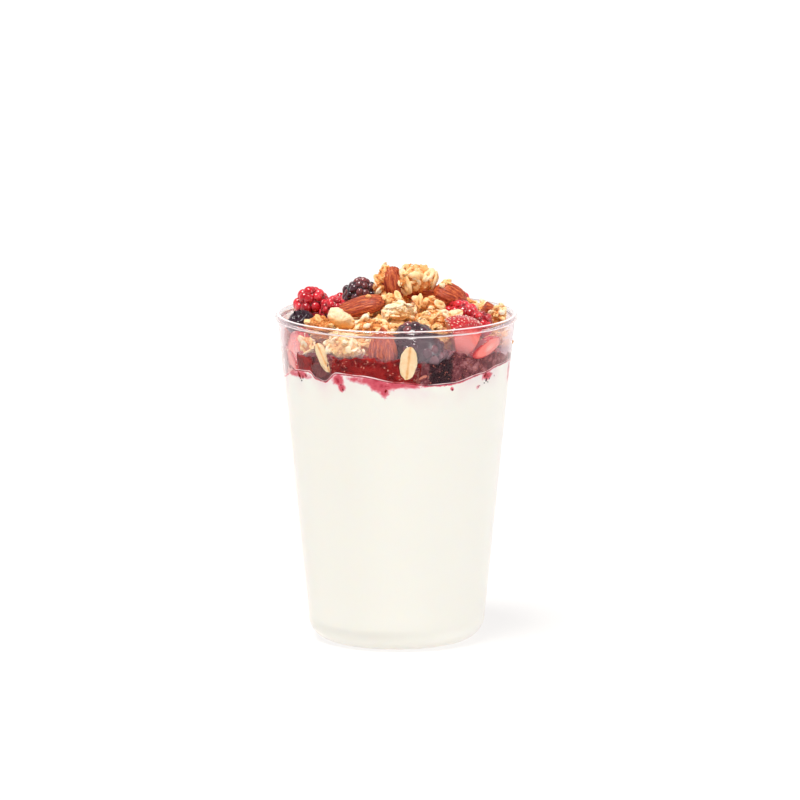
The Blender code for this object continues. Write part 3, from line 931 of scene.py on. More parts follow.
class AlmondSkin(Finish):
    """Ridged reddish brown skin, lighter on its ridges, with a little dust."""

    name: str = "almond_skin"
    deep: Colour = display(112, 30, 14)
    skin: Colour = display(174, 66, 34)
    light: Colour = display(226, 126, 70)

    def lay(self) -> None:
        """Lay the nodes."""
        own = self.vector("own")
        streaks = self.noise(self.stretch(own, (0.16, 1.0, 1.0)), 1.5, 4.0, 0.6)
        dust = self.noise(own, 3.0, 2.0)
        tone = self.plus(self.times(dust, 0.25), self.minus(streaks, 0.12))
        self.colour(self.ramp(tone, (0.3, self.deep), (0.5, self.skin), (0.72, self.light)))
        self.settings(Roughness=0.5, IOR=1.4, Coat_Weight=0.1, Coat_Roughness=0.3)
        self.bump(streaks, 0.0006, 0.7)
        self.bump(dust, 0.0001, 0.5)


class NutMeat(Finish):
    """A peeled nut, cream where it is untouched and golden where it is toasted."""

    name: str = "nut_meat"
    cream: Colour = display(252, 222, 182)
    golden: Colour = display(252, 190, 114)

    def lay(self) -> None:
        """Lay the nodes."""
        own = self.vector("own")
        mottle = self.noise(own, 0.5, 4.0, 0.6)
        height = self.grade(self.node("ShaderNodeSeparateXYZ", "Z", {0: own}), -3.4, 2.6)
        toast = self.plus(height, self.minus(mottle, 0.5))
        self.colour(self.ramp(toast, (0.15, self.golden), (0.62, self.cream)))
        self.scatter(0.25, (1.0, 0.7, 0.4), 0.0015)
        self.settings(Roughness=0.45, IOR=1.4, Coat_Weight=0.1, Coat_Roughness=0.3)
        self.bump(self.noise(own, 1.4, 4.0), 0.0003, 0.5)


class Finishes:
    """Every material, made once."""

    def __init__(self) -> None:
        """Make them all."""
        self.clear = ClearWall().material
        self.yogurt = YogurtCream().material
        self.compote = Compote().material
        self.raspberry = DrupeletSkin(
            name="raspberry_skin", deep=display(92, 0, 8), middle=display(206, 16, 36),
            light=display(240, 66, 78), glow=(1.0, 0.12, 0.12), bloom=0.0, roughness=0.18
        ).material
        self.dark_drupelets = DrupeletSkin(
            name="dark_drupelet_skin", deep=display(24, 8, 14), middle=display(76, 38, 50),
            light=display(146, 76, 76), glow=(0.6, 0.15, 0.25), bloom=0.08, roughness=0.2
        ).material
        self.smooth_berry = SmoothSkin().material
        self.soaked_berry = SmoothSkin(
            name="soaked_berry_skin", deep=display(84, 26, 30), skin=display(136, 62, 62),
            bloom=display(176, 110, 108)
        ).material
        self.soaked = Granola(
            name="juice_soaked_granola", pale=display(240, 178, 150), golden=display(214, 128, 106),
            toasted=display(178, 86, 70), dark=display(122, 50, 44)
        ).material
        self.strawberry = StrawberryFinish().material
        self.juice = JuiceGloss().material
        self.granola = Granola().material
        self.oat = Granola(
            name="oat_flake", pale=display(255, 228, 186), golden=display(250, 200, 140),
            toasted=display(232, 156, 86), dark=display(190, 108, 50)
        ).material
        self.almond = AlmondSkin().material
        self.nut = NutMeat().material


# The cup and its layers.


def arc(centre: tuple[float, float], radius: float, start: float, end: float, steps: int) -> list:
    """Return points of an arc in the outline's plane, from start to end degrees."""
    angles = [math.radians(start + (end - start) * step / steps) for step in range(steps + 1)]
    return [(centre[0] + radius * math.cos(a), centre[1] + radius * math.sin(a)) for a in angles]


def rows(start: float, end: float, step: float) -> list[float]:
    """Return evenly spaced heights from start to end, about a step apart, both ends included."""
    count = max(1, round(abs(end - start) / step))
    return [start + (end - start) * index / count for index in range(count + 1)]


@dataclass(frozen=True)
class Cup:
    """The clear cup: a tapered wall with a rolled rim and a rounded foot."""

    rim_diameter: float = 80.0
    height: float = 109.0
    wall: float = 0.5
    floor: float = 1.2
    taper: float = 0.0993
    bead_radius: float = 1.15
    bead_overhang: float = 0.95
    bead_wall: float = 0.28
    # The painted highlight lines on the rim: their leans round the bead in degrees, and their width.
    rim_highlight_bands: tuple[float, float] = (74.0, -48.0)
    rim_highlight_spread: float = 22.0
    corner_radius: float = 8.0
    steps: int = 256
    film_from: float = 87.0
    # How much stronger the haze is painted towards the left and right sides, as a painted reflection.
    side_mist_and_reflection: float = 2.4
    film_row: float = 0.6
    touch: float = 0.3
    fade: float = 0.5

    def outer_radius(self, height: float | np.ndarray) -> float | np.ndarray:
        """Return the outside radius of the wall at a height."""
        under_rim = self.rim_diameter / 2 - self.bead_overhang
        return under_rim - self.taper * (self.height - 2 * self.bead_radius - height)

    def inner_radius(self, height: float | np.ndarray) -> float | np.ndarray:
        """Return the inside radius of the wall at a height."""
        return self.outer_radius(height) - self.wall

    def corner(self, radius: float, floor: float, offset: float) -> list[tuple[float, float]]:
        """Draw the rounded foot corner, from the wall down to the floor.

        Args:
            radius: The corner's radius.
            floor: The floor's height.
            offset: How far it is set in from the outside.

        Returns:
            Its points, of radius and height.
        """
        slope = math.degrees(math.atan(self.taper))
        level = floor + radius
        wall = self.outer_radius(level) - offset
        return arc((wall - radius * math.cos(math.radians(slope)), level), radius, -slope, -90.0, 14)

    def outline(self) -> list[tuple[float, float]]:
        """Draw half the cup's section.

        Returns:
            The closed outline's points, of radius and height.
        """
        bead = (self.rim_diameter / 2 - self.bead_radius, self.height - self.bead_radius)
        below_bead = self.height - 2 * self.bead_radius
        inside_top = below_bead - self.bead_radius
        outside = self.corner(self.corner_radius, 0.0, 0.0)
        inside = self.corner(self.corner_radius - self.wall, self.floor, self.wall)
        inside.reverse()
        points = arc(bead, self.bead_radius, 150.0, -60.0, 28)
        levels = [below_bead, below_bead - 0.4, *rows(below_bead - 3.0, outside[0][1] + 0.5, 6.0)]
        points += [(self.outer_radius(level), level) for level in levels]
        points += outside
        points += [(outside[-1][0] / 2, 0.0), (0.0, 0.0), (0.0, self.floor), (inside[0][0] / 2, self.floor)]
        points += inside
        levels = [inside[-1][1] + 0.5, *rows(inside[-1][1] + 4.0, self.film_from - 1.0, 6.0)]
        levels += [*rows(self.film_from, inside_top - 0.4, self.film_row), inside_top]
        points += [(self.inner_radius(level), level) for level in levels]
        points.append(points[0])
        return points

    def build(self) -> Workpiece:
        """Model the cup, its rolled rim hollow, so that its wall is thin all round.

        Returns:
            The cup, in mm, not yet dressed.
        """
        piece = spin_outline("clear_cup", self.outline(), self.steps)
        hollow = Workpiece.start(
            "rolled_rim_hollow", Primitive.TORUS, major_radius=self.rim_diameter / 2 - self.bead_radius,
            minor_radius=self.bead_radius - self.bead_wall, major_segments=self.steps, minor_segments=18
        )
        with hollow.editing():
            bpy.ops.transform.translate(value=(0.0, 0.0, self.height - self.bead_radius))
            bpy.ops.mesh.flip_normals()
        pick_nothing()
        hollow.obj.select_set(True)
        piece.obj.select_set(True)
        bpy.context.view_layer.objects.active = piece.obj
        bpy.ops.object.join()
        return piece

    def haze_and_highlights(self, piece: Workpiece, contents: "Contents") -> None:
        """Store how hazy the wall is: clear where something touches it, misted where nothing does, the haze
        also a painted reflection, painted stronger towards the left and right sides; and store the painted
        highlight lines on the rolled rim.

        Args:
            piece: The cup, in mm.
            contents: What is in the cup.
        """
        places = piece.points()
        film = np.zeros(len(places))
        radii = np.hypot(places[:, 0], places[:, 1])
        inside = (np.abs(radii - self.inner_radius(places[:, 2])) < 0.02) & (places[:, 2] > self.film_from)
        for index in np.flatnonzero(inside):
            gap = contents.gap_behind_wall(Vector(places[index]), self)
            film[index] = min(1.0, max(0.0, gap - self.touch) / self.fade)
        # Painted reflection: the haze is painted stronger towards the left and right sides.
        piece.paint("film", film * (1.0 + self.side_mist_and_reflection * (places[:, 0] / np.maximum(radii, 1.0)) ** 6))
        # Painted highlight: near-white bands round the rolled rim's bead.
        out = radii - (self.rim_diameter / 2 - self.bead_radius)
        up = places[:, 2] - (self.height - self.bead_radius)
        lean = np.degrees(np.arctan2(up, out))
        on_bead = np.abs(np.hypot(out, up) - self.bead_radius) < 0.06
        rim_highlight_lines = [np.exp(-(((lean - band) / self.rim_highlight_spread) ** 4)) for band in self.rim_highlight_bands]
        piece.paint("frost", np.where(on_bead, np.max(rim_highlight_lines, axis=0), 0.0))


@dataclass(frozen=True)
class Shoreline:
    """Something that varies round the cup: a curve through points of angle and value.

    Angles are in degrees from the front, growing towards +X.
    """

    stops: tuple[tuple[float, float], ...]

    def at(self, angles: np.ndarray) -> np.ndarray:
        """Return the values at these angles.

        Args:
            angles: Degrees from the front, -180 to 180.

        Returns:
            One value for each angle, smooth between the stops and round the back.
        """
        stops = sorted(self.stops)
        where = np.array([stops[-1][0] - 360.0] + [stop[0] for stop in stops] + [stops[0][0] + 360.0])
        values = np.array([stops[-1][1]] + [stop[1] for stop in stops] + [stops[0][1]])
        index = np.clip(np.searchsorted(where, angles) - 1, 0, len(where) - 2)
        share = (angles - where[index]) / (where[index + 1] - where[index])
        share = share * share * (3 - 2 * share)
        return values[index] * (1 - share) + values[index + 1] * share


def angles_of(places: np.ndarray) -> np.ndarray:
    """Return each place's angle from the front, in degrees, growing towards +X."""
    return np.degrees(np.arctan2(places[:, 0], -places[:, 1]))


# Where the yogurt ends and the fruit starts, along the wall.
YOGURT_EDGE = Shoreline((
    (-85.0, 88.6), (-56.0, 93.0), (-49.0, 93.3), (-44.6, 91.3), (-39.0, 90.7), (-31.5, 93.9), (-19.0, 93.5),
    (2.0, 91.5), (17.0, 90.5), (28.6, 90.7), (48.0, 92.7), (61.6, 94.2), (76.0, 94.4), (112.0, 90.8),
    (135.0, 93.6), (156.0, 91.4), (180.0, 93.4), (-142.0, 90.4), (-112.0, 92.8)
))
# How dark the fruit is: 0 for red jam, 0.5 for purple berries, 1 for the blackest.
FRUIT_DARKNESS = Shoreline((
    (-85.0, 0.0), (-50.0, 0.0), (-44.0, 0.5), (-36.0, 0.5), (-30.0, 0.0), (10.0, 0.0), (15.0, 0.7),
    (18.0, 1.0), (25.0, 1.0), (36.0, 0.5), (75.0, 0.45), (88.0, 0.05), (130.0, 0.1), (150.0, 0.5),
    (-165.0, 0.45), (-150.0, 0.05), (-110.0, 0.1)
))
FRUIT_TOP = Shoreline((
    (-80.0, 97.0), (-55.0, 98.0), (-36.0, 99.0), (-10.0, 99.2), (5.0, 98.8), (14.0, 97.8), (26.0, 98.0),
    (31.0, 101.2), (35.0, 100.6), (41.0, 98.2), (46.0, 99.2), (56.0, 99.6), (70.0, 96.6), (85.0, 97.0),
    (130.0, 99.4), (170.0, 98.2), (-130.0, 99.4)
))


# Juice that has run into the yogurt at the wall: angle and height, half its size in mm, and its strength.
STAINS: tuple[tuple[float, float, float, float, float], ...] = (
    (-5.7, 88.9, 1.7, 2.6, 1.0), (-7.0, 90.6, 4.2, 1.9, 1.15), (-12.0, 92.2, 6.5, 1.5, 1.15),
    (1.0, 91.2, 6.5, 1.4, 1.1), (8.0, 90.6, 4.6, 1.0, 0.9), (-21.0, 92.6, 3.6, 1.2, 1.0),
    (-30.4, 91.8, 1.9, 2.0, 1.3), (-28.8, 89.6, 1.3, 1.7, 1.2), (-56.0, 91.8, 4.0, 1.2, 1.2),
    (-68.0, 91.4, 6.0, 0.9, 1.0), (24.0, 90.8, 4.0, 0.7, 1.2), (29.5, 88.9, 0.8, 0.7, 1.1),
    (52.5, 91.8, 2.8, 1.2, 1.2), (46.0, 88.7, 1.4, 0.7, 0.7), (80.0, 90.0, 2.2, 4.0, 1.0),
    (104.0, 90.0, 6.0, 1.2, 0.8), (121.0, 88.6, 1.8, 2.8, 1.0), (146.0, 91.6, 7.0, 1.2, 0.8),
    (152.0, 88.8, 1.5, 2.2, 1.0), (176.0, 90.8, 3.0, 2.6, 1.0), (-160.0, 92.0, 6.0, 1.0, 0.7),
    (-139.0, 88.4, 1.8, 2.4, 1.0), (-126.0, 90.2, 7.0, 1.3, 0.8), (-103.0, 90.2, 2.0, 2.6, 1.0)
)


@dataclass(frozen=True)
class YogurtFill:
    """The yogurt, from the cup's floor to its wavy edge, reaching just into the wall."""

    cup: Cup
    reach: float = 0.25
    level: float = 94.0
    fine_from: float = 80.0
    fine_row: float = 0.3
    steps: int = 480
    dip: float = 2.0
    stain_edge: float = 0.7
    line_stain: float = 0.95
    line_depth: float = 0.4
    blush_depth: float = 9.0

    def outline(self) -> list[tuple[float, float]]:
        """Draw half the yogurt's section.

        Returns:
            The points, from the middle of the floor, up the wall, to the middle of the top.
        """
        offset = self.cup.wall - self.reach
        corner = self.cup.corner(self.cup.corner_radius - offset, self.cup.floor - self.reach, offset)
        corner.reverse()
        points = [(0.0, self.cup.floor - self.reach), *corner]
        levels = [
            *rows(corner[-1][1] + 3.0, self.fine_from, 5.0),
            *rows(self.fine_from, self.level, self.fine_row)[1:]
        ]
        points += [(self.cup.inner_radius(level) + self.reach, level) for level in levels]
        edge = points[-1][0]
        points += [(edge * share, self.level) for share in (0.985, 0.93, 0.8, 0.55, 0.25, 0.0)]
        return points

    def stains(self, angles: np.ndarray, heights: np.ndarray) -> np.ndarray:
        """Work out how stained each place is.

        Args:
            angles: Degrees from the front.
            heights: Heights in mm.

        Returns:
            The strength of the strongest stain at each place.
        """
        radius = self.cup.inner_radius(self.level)
        strengths = np.zeros(len(angles))
        for angle, height, half_width, half_height, strength in STAINS:
            across = np.radians((angles - angle + 180.0) % 360.0 - 180.0) * radius / half_width
            away = np.hypot(across, (heights - height) / half_height)
            strengths = np.maximum(strengths, strength * np.exp(-(away**2) * self.stain_edge))
        return strengths

    def build(self, finishes: Finishes) -> Workpiece:
        """Model the yogurt and store where it is stained.

        Args:
            finishes: The materials.

        Returns:
            The finished piece.
        """
        piece = spin_outline("yogurt_fill", self.outline(), self.steps)
        places = piece.points()
        angles = angles_of(places)
        radii = np.hypot(places[:, 0], places[:, 1])
        edge = YOGURT_EDGE.at(angles)
        on_top = radii < self.cup.inner_radius(self.level) + self.reach - 0.05
        on_top &= places[:, 2] > self.level - 0.01
        raised = places[:, 2] > self.fine_from
        share = (places[:, 2] - self.fine_from) / (self.level - self.fine_from)
        heights = np.where(raised, self.fine_from + share * (edge - self.fine_from), places[:, 2])
        inwards = np.clip(radii / self.cup.inner_radius(self.level), 0, 1)
        heights = np.where(on_top, edge * inwards**2 + (self.level - self.dip) * (1 - inwards**2), heights)
        wall = self.cup.inner_radius(heights) + self.reach
        grown = np.where(raised & ~on_top, wall / np.maximum(radii, TINY), 1.0)
        places = np.column_stack([places[:, 0] * grown, places[:, 1] * grown, heights])
        piece.move_points(places)
        below = edge - heights
        line = self.line_stain * np.exp(-((below / self.line_depth) ** 2))
        piece.paint("stain", np.maximum(self.stains(angles, heights), line))
        piece.paint("blush", np.clip(1.0 - below / self.blush_depth, 0.0, 1.0) ** 1.3)
        piece.finish(finishes.yogurt, Slot.YOGURT, "yogurt")
        return piece


@dataclass(frozen=True)
class JuiceLine:
    """The thin line of juice along the yogurt's edge, at the wall."""

    cup: Cup
    thickness: float = 0.2
    steps: int = 720
    sides: int = 8
    level: float = 92.0
    above_edge: float = 0.35
    into_wall: float = 0.12

    def build(self, finishes: Finishes) -> None:
        """Model the line.

        Args:
            finishes: The materials.
        """
        ring = self.cup.inner_radius(self.level)
        piece = Workpiece.start(
            "juice_line", Primitive.TORUS, major_radius=ring, minor_radius=self.thickness,
            major_segments=self.steps, minor_segments=self.sides
        )
        places = piece.points()
        angles = angles_of(places)
        swell = 0.75 + 0.45 * np.sin(np.radians(angles * 7)) * np.cos(np.radians(angles * 13))
        across = (np.hypot(places[:, 0], places[:, 1]) - ring) * swell
        heights = YOGURT_EDGE.at(angles) + self.above_edge + places[:, 2] * swell
        radii = self.cup.inner_radius(heights) + self.into_wall + across
        ways = np.radians(angles)
        piece.move_points(np.column_stack([radii * np.sin(ways), -radii * np.cos(ways), heights]))
        piece.finish(finishes.juice, Slot.COMPOTE)


# Bits of fruit in the yogurt at the wall: angle, height, size in mm, and how dark each is.
FRUIT_BITS: tuple[tuple[float, float, float, float], ...] = (
    (-58.5, 91.7, 2.6, 0.0), (-55.0, 91.2, 2.2, 0.0), (-52.5, 91.9, 1.8, 0.1), (-56.5, 89.8, 1.3, 1.0),
    (-57.5, 90.5, 0.9, 1.0), (26.0, 90.4, 1.5, 0.0), (29.6, 88.7, 1.2, 0.0), (51.0, 92.1, 2.0, 0.1),
    (53.5, 91.5, 1.8, 0.4), (52.0, 90.5, 1.5, 1.0), (54.8, 90.6, 1.1, 1.0), (53.6, 89.7, 1.2, 1.0),
    (50.6, 89.5, 0.8, 1.0), (55.8, 92.3, 1.2, 0.2), (46.2, 88.6, 0.8, 0.9), (47.2, 88.9, 0.5, 0.9),
    (59.0, 91.2, 0.7, 0.8), (-29.4, 90.4, 1.8, 0.0), (-28.2, 88.8, 1.4, 0.0), (-5.4, 89.0, 1.3, 0.0),
    (79.0, 92.0, 2.8, 0.0), (80.0, 88.8, 2.4, 0.0), (118.0, 88.0, 1.8, 0.2), (122.0, 89.2, 1.4, 0.8),
    (152.5, 88.2, 1.6, 0.0), (176.5, 89.0, 2.4, 0.6), (-139.0, 87.8, 1.6, 0.0), (-136.0, 89.4, 1.0, 1.0),
    (-102.0, 89.0, 2.2, 0.1)
)


def at_wall(cup: Cup, angle: float, height: float, size: float, draws: random.Random) -> Matrix:
    """Work out the place of a small thing pressed flat against the wall inside.

    Args:
        cup: The cup.
        angle: Degrees from the front.
        height: Height in mm.
        size: The thing's size in mm.
        draws: The random draws for its turn.

    Returns:
        The copy's matrix, in mm.
    """
    way = Vector((math.sin(math.radians(angle)), -math.cos(math.radians(angle)), 0.0))
    place = way * (cup.inner_radius(height) + 0.36 - 0.26 * size) + Vector((0.0, 0.0, height))
    return placing(place, way, draws.uniform(0.0, math.tau), size)


def build_fruit_bits(shop: "Workshop") -> None:
    """Set the bits of fruit in the yogurt.

    Args:
        shop: What they are made with.
    """
    draws = draws_for("fruit_bits")
    field = CopyField()
    for angle, height, size, tone in FRUIT_BITS:
        matrix = at_wall(shop.cup, angle, height, size, draws)
        field.add(draws.choice(shop.larder.crumbs), matrix, tone)
    field.build("fruit_bits").finish(shop.finishes.compote, Slot.COMPOTE)


@dataclass(frozen=True)
class WallScatter:
    """Small things spread through a stretch of the fruit layer, where it lies at the wall."""

    name: str
    stretches: tuple[tuple[float, float], ...]
    count: int
    sizes: tuple[float, float]
    tones: tuple[float, float]
    seeds: bool = False
    seed_depth: float = 0.6
    above_yogurt: float = 0.9
    below_top: float = 0.2
    clear_of_toppings: float = 1.0

    def build(self, shop: "Workshop") -> None:
        """Set every one at the wall, but not over a topping.

        Args:
            shop: What they are made with.
        """
        draws = draws_for(self.name)
        field = CopyField()
        for start, end in self.stretches:
            for _ in range(self.count):
                angle = draws.uniform(start, end)
                here = np.array([angle])
                low = YOGURT_EDGE.at(here)[0] + self.above_yogurt
                high = FRUIT_TOP.at(here)[0] - self.below_top
                size = draws.uniform(*self.sizes)
                depth = size * (self.seed_depth if self.seeds else 1.0)
                matrix = at_wall(shop.cup, angle, draws.uniform(low, high), depth, draws)
                if shop.toppings.gap_behind_wall(matrix.translation, shop.cup) < self.clear_of_toppings:
                    continue
                template = shop.larder.seed if self.seeds else draws.choice(shop.larder.crumbs)
                if self.seeds:
                    matrix = matrix @ Matrix.Rotation(math.pi / 2, 4, "X")
                    matrix = matrix @ Matrix.Scale(1 / self.seed_depth, 4)
                field.add(template, matrix, draws.uniform(*self.tones))
        field.build(self.name).finish(shop.finishes.soaked, Slot.COMPOTE)


WALL_SCATTERS: tuple[WallScatter, ...] = (
    WallScatter(
        "jam_seeds", ((-31.0, 11.0), (92.0, 140.0), (-150.0, -95.0)), 40, (0.45, 0.75), (0.2, 0.7), seeds=True
    ),
    WallScatter("berry_specks", ((17.0, 74.0), (140.0, 200.0), (-44.0, -32.0)), 90, (0.25, 0.6), (0.55, 1.0))
)


class Contents:
    """What is in the cup, for finding what lies behind a place or under it."""

    deepest: float = 9.0
    wall_share: float = 0.9

    def __init__(self) -> None:
        """Start empty."""
        self.trees: list[tuple[BVHTree, np.ndarray, np.ndarray]] = []

    def add(self, piece: Workpiece) -> None:
        """Add a seated piece.

        Args:
            piece: The piece, in metres.
        """
        places = piece.points() / MM
        mesh = piece.obj.data
        faces = [tuple(polygon.vertices) for polygon in mesh.polygons]
        tree = BVHTree.FromPolygons([Vector(place) for place in places], faces)
        self.trees.append((tree, places.min(0), places.max(0)))

    def first_hit(self, start: Vector, way: Vector, reach: float) -> tuple[float, Vector] | None:
        """Find the first surface that a ray meets.

        Args:
            start: Where it starts, in mm.
            way: Its direction, of length 1.
            reach: How far it goes, in mm.

        Returns:
            The distance and the surface's normal, or None.
        """
        end = start + way * reach
        low = np.minimum(start, end) - 0.01
        high = np.maximum(start, end) + 0.01
        best = None
        for tree, box_low, box_high in self.trees:
            if (low > box_high).any() or (high < box_low).any():
                continue
            _, normal, _, distance = tree.ray_cast(start, way, reach)
            if distance is not None and (best is None or distance < best[0]):
                best = (distance, normal)
        return best

    def gap_behind_wall(self, place: Vector, cup: Cup) -> float:
        """Measure how far behind a place of the inner wall the contents start.

        Args:
            place: A place of the wall, in mm.
            cup: The cup.

        Returns:
            The gap in mm.
        """
        outside = Vector((place.x, place.y, 0.0)).normalized()
        start = place + outside * cup.wall * self.wall_share
        hit = self.first_hit(start, -outside, self.deepest)
        return self.deepest if hit is None else max(0.0, hit[0] - cup.wall * self.wall_share)


@dataclass(frozen=True)
class Drum:
    """A layer that fills the cup between two heights, hollowed where toppings lie against the wall."""

    name: str
    cup: Cup
    top: Shoreline
    bottom: Shoreline
    crown: float
    set_in: Shoreline
    lumps: float = 0.0
    steps: int = 480
    row: float = 0.45
    rings: int = 60
    seen_within: float = 1.5
    behind: float = 0.9
    under: float = 0.4
    look_up_from: float = 86.0
    lowest_top: float = 92.0
    blank: float = 10.0

    def build(self, toppings: Contents) -> Workpiece:
        """Model the layer.

        Args:
            toppings: What it makes room for.

        Returns:
            The piece, in mm, not yet dressed.
        """
        side = rows(0.0, 1.0, self.row / 9.0)
        across = rows(1.0, 0.0, 1.0 / self.rings)
        outline = [(0.0, 0.0), (0.5, 0.0), (1.0, 0.0)] + [(1.0, level) for level in side[1:]]
        outline += [(share, 1.0) for share in across[1:]]
        piece = spin_outline(self.name, [(x * self.blank, z * self.blank) for x, z in outline], self.steps)
        places = piece.points() / self.blank
        angles = angles_of(places)
        shares = np.clip(np.hypot(places[:, 0], places[:, 1]), 0.0, 1.0)
        bottoms = self.bottom.at(angles) - 0.8
        rough = np.sin(np.radians(angles * 17)) + np.sin(np.radians(angles * 29 + 40)) * 0.8
        rough += np.sin(np.radians(angles * 53 + 70)) * np.sin(np.radians(angles * 11)) + np.sin(shares * 40)
        tops = self.top.at(angles) + self.crown * (1 - shares**2) + rough * self.lumps
        heights = bottoms + places[:, 2] * (tops - bottoms)
        ways = np.radians(angles)
        radii = shares * (self.cup.inner_radius(heights) - self.set_in.at(angles))
        shaped = np.column_stack([radii * np.sin(ways), -radii * np.cos(ways), heights])
        for index in np.flatnonzero(shares > NEARLY):
            shaped[index] = self.behind_toppings(Vector(shaped[index]), toppings)
        for index in np.flatnonzero((shares <= NEARLY) & (places[:, 2] > NEARLY)):
            shaped[index] = self.under_toppings(Vector(shaped[index]), toppings)
        piece.move_points(shaped)
        return piece

    def behind_toppings(self, place: Vector, toppings: Contents) -> Vector:
        """Move a place of the side behind whatever topping lies against the wall there.

        Args:
            place: The place.
            toppings: The toppings.

        Returns:
            Where it goes.
        """
        outside = Vector((place.x, place.y, 0.0)).normalized()
        hit = toppings.first_hit(place + outside * 0.5, -outside, self.seen_within)
        return place if hit is None else place - outside * (hit[0] + self.behind)

    def under_toppings(self, place: Vector, toppings: Contents) -> Vector:
        """Lower a place of the top until it is under whatever topping lies there.

        Args:
            place: The place.
            toppings: The toppings.

        Returns:
            Where it goes.
        """
        start = Vector((place.x, place.y, self.look_up_from))
        hit = toppings.first_hit(start, UP, place.z - self.look_up_from)
        if hit is None:
            return place
        return Vector((place.x, place.y, max(self.look_up_from + hit[0] - self.under, self.lowest_top)))


# Small shapes that are copied many times.


class Larder:
    """The templates: drupelets, oat flakes, crumbs, seeds and sepals, each modelled once."""

    def __init__(self) -> None:
        """Model them all."""
        self.drupelet = self.model_drupelet()
        self.flakes = [self.model_flake(index, 28, 18) for index in range(5)]
        self.loose_flakes = [self.model_flake(index, 10, 6) for index in range(5)]
        self.crumbs = [self.model_crumb(index) for index in range(5)]
        self.grains = [self.model_crumb(index, 1) for index in range(5)]
        self.seed = self.model_seed()
        self.sepal = self.model_sepal()

    def model_drupelet(self) -> Template:
        """Model a drupelet of diameter 1: a plump drop with the mark of its hair on top.

        Returns:
            The drupelet.
        """
        piece = Workpiece.start("drupelet", Primitive.ICO_SPHERE, subdivisions=3, radius=0.5)
        piece.squeeze(lambda co: co.z < -0.3, (0.7, 0.7, 1.0), 0.5, (0.0, 0.0, -0.5))
        piece.pull(lambda co: co.z > 0.49, (0.0, 0.0, -0.05), 0.16)
        return Template(piece)

    def model_flake(self, index: int, segments: int, rings: int) -> Template:
        """Model a rolled oat of length 1: two lobes along a crease, more or less curled.

        Args:
            index: Which of the five variants.
            segments: Faces round it.
            rings: Faces along it.

        Returns:
            The flake, its length along X and its face along Z.
        """
        width, thickness = (0.48, 0.56, 0.52, 0.44, 0.6)[index], (0.3, 0.26, 0.34, 0.28, 0.2)[index]
        along = (0.0, math.pi / 2, 0.0)
        name = f"flake_{index}"
        piece = Workpiece.start(
            name, Primitive.UV_SPHERE, segments=segments, ring_count=rings, radius=0.5, rotation=along
        )
        piece.fit((1.0, width, thickness))
        for side in (1.0, -1.0):
            piece.pull(
                lambda co: abs(co.y) < 0.03 and co.z * side > 0.0 and abs(co.x) < 0.4,
                (0.0, 0.0, -side * thickness * 0.45), 0.13
            )
        piece.relief(Grain.CLOUDS, 0.22, 0.08)
        piece.bend((35.0, -20.0, 60.0, 15.0, 80.0)[index], "Y")
        if index == 3:
            piece.cut((0.22, 0.0, 0.0), (1.0, 0.4, 0.0))
        piece.tidy_faces()
        return Template(piece)

    def model_crumb(self, index: int, fineness: int = 2) -> Template:
        """Model a crumb of length 1, knobbly and angular.

        Args:
            index: Which of the five variants.
            fineness: 2 for a crumb, 1 for a grain of few faces.

        Returns:
            The crumb.
        """
        piece = Workpiece.start(f"crumb_{index}", Primitive.ICO_SPHERE, subdivisions=fineness, radius=0.5)
        piece.relief(Grain.CELLS, 0.45, 0.5)
        piece.relief(Grain.CLOUDS, 0.3, 0.25)
        piece.fit((1.0, (0.7, 0.85, 0.6, 0.9, 0.75)[index], (0.6, 0.5, 0.65, 0.8, 0.45)[index]))
        return Template(piece)

    def model_seed(self) -> Template:
        """Model a seed of length 1, pointed at one end.

        Returns:
            The seed.
        """
        piece = Workpiece.start("seed", Primitive.UV_SPHERE, segments=8, ring_count=6, radius=0.5)
        piece.fit((0.6, 0.42, 1.0))
        piece.squeeze(lambda co: co.z > 0.3, (0.4, 0.4, 1.0), 0.5, (0.0, 0.0, 0.5))
        return Template(piece)

    def model_sepal(self) -> Template:
        """Model one leaf of a berry's crown, of length 1, standing on its base.

        Returns:
            The leaf.
        """
        piece = Workpiece.start("sepal", Primitive.CONE, vertices=10, radius1=0.5, radius2=0.06, depth=1.0)
        piece.fit((0.9, 0.28, 1.0))
        with piece.editing():
            bpy.ops.transform.translate(value=(0.0, 0.0, 0.4))
        piece.modify("SUBSURF", levels=1, render_levels=1)
        piece.bend(35.0, "X")
        return Template(piece)


# Toppings. Each models itself along its own axes, and is then turned and seated.


@dataclass(frozen=True)
class Workshop:
    """What the pieces are made with, and the toppings that are done."""

    finishes: Finishes
    larder: Larder
    cup: Cup
    toppings: Contents


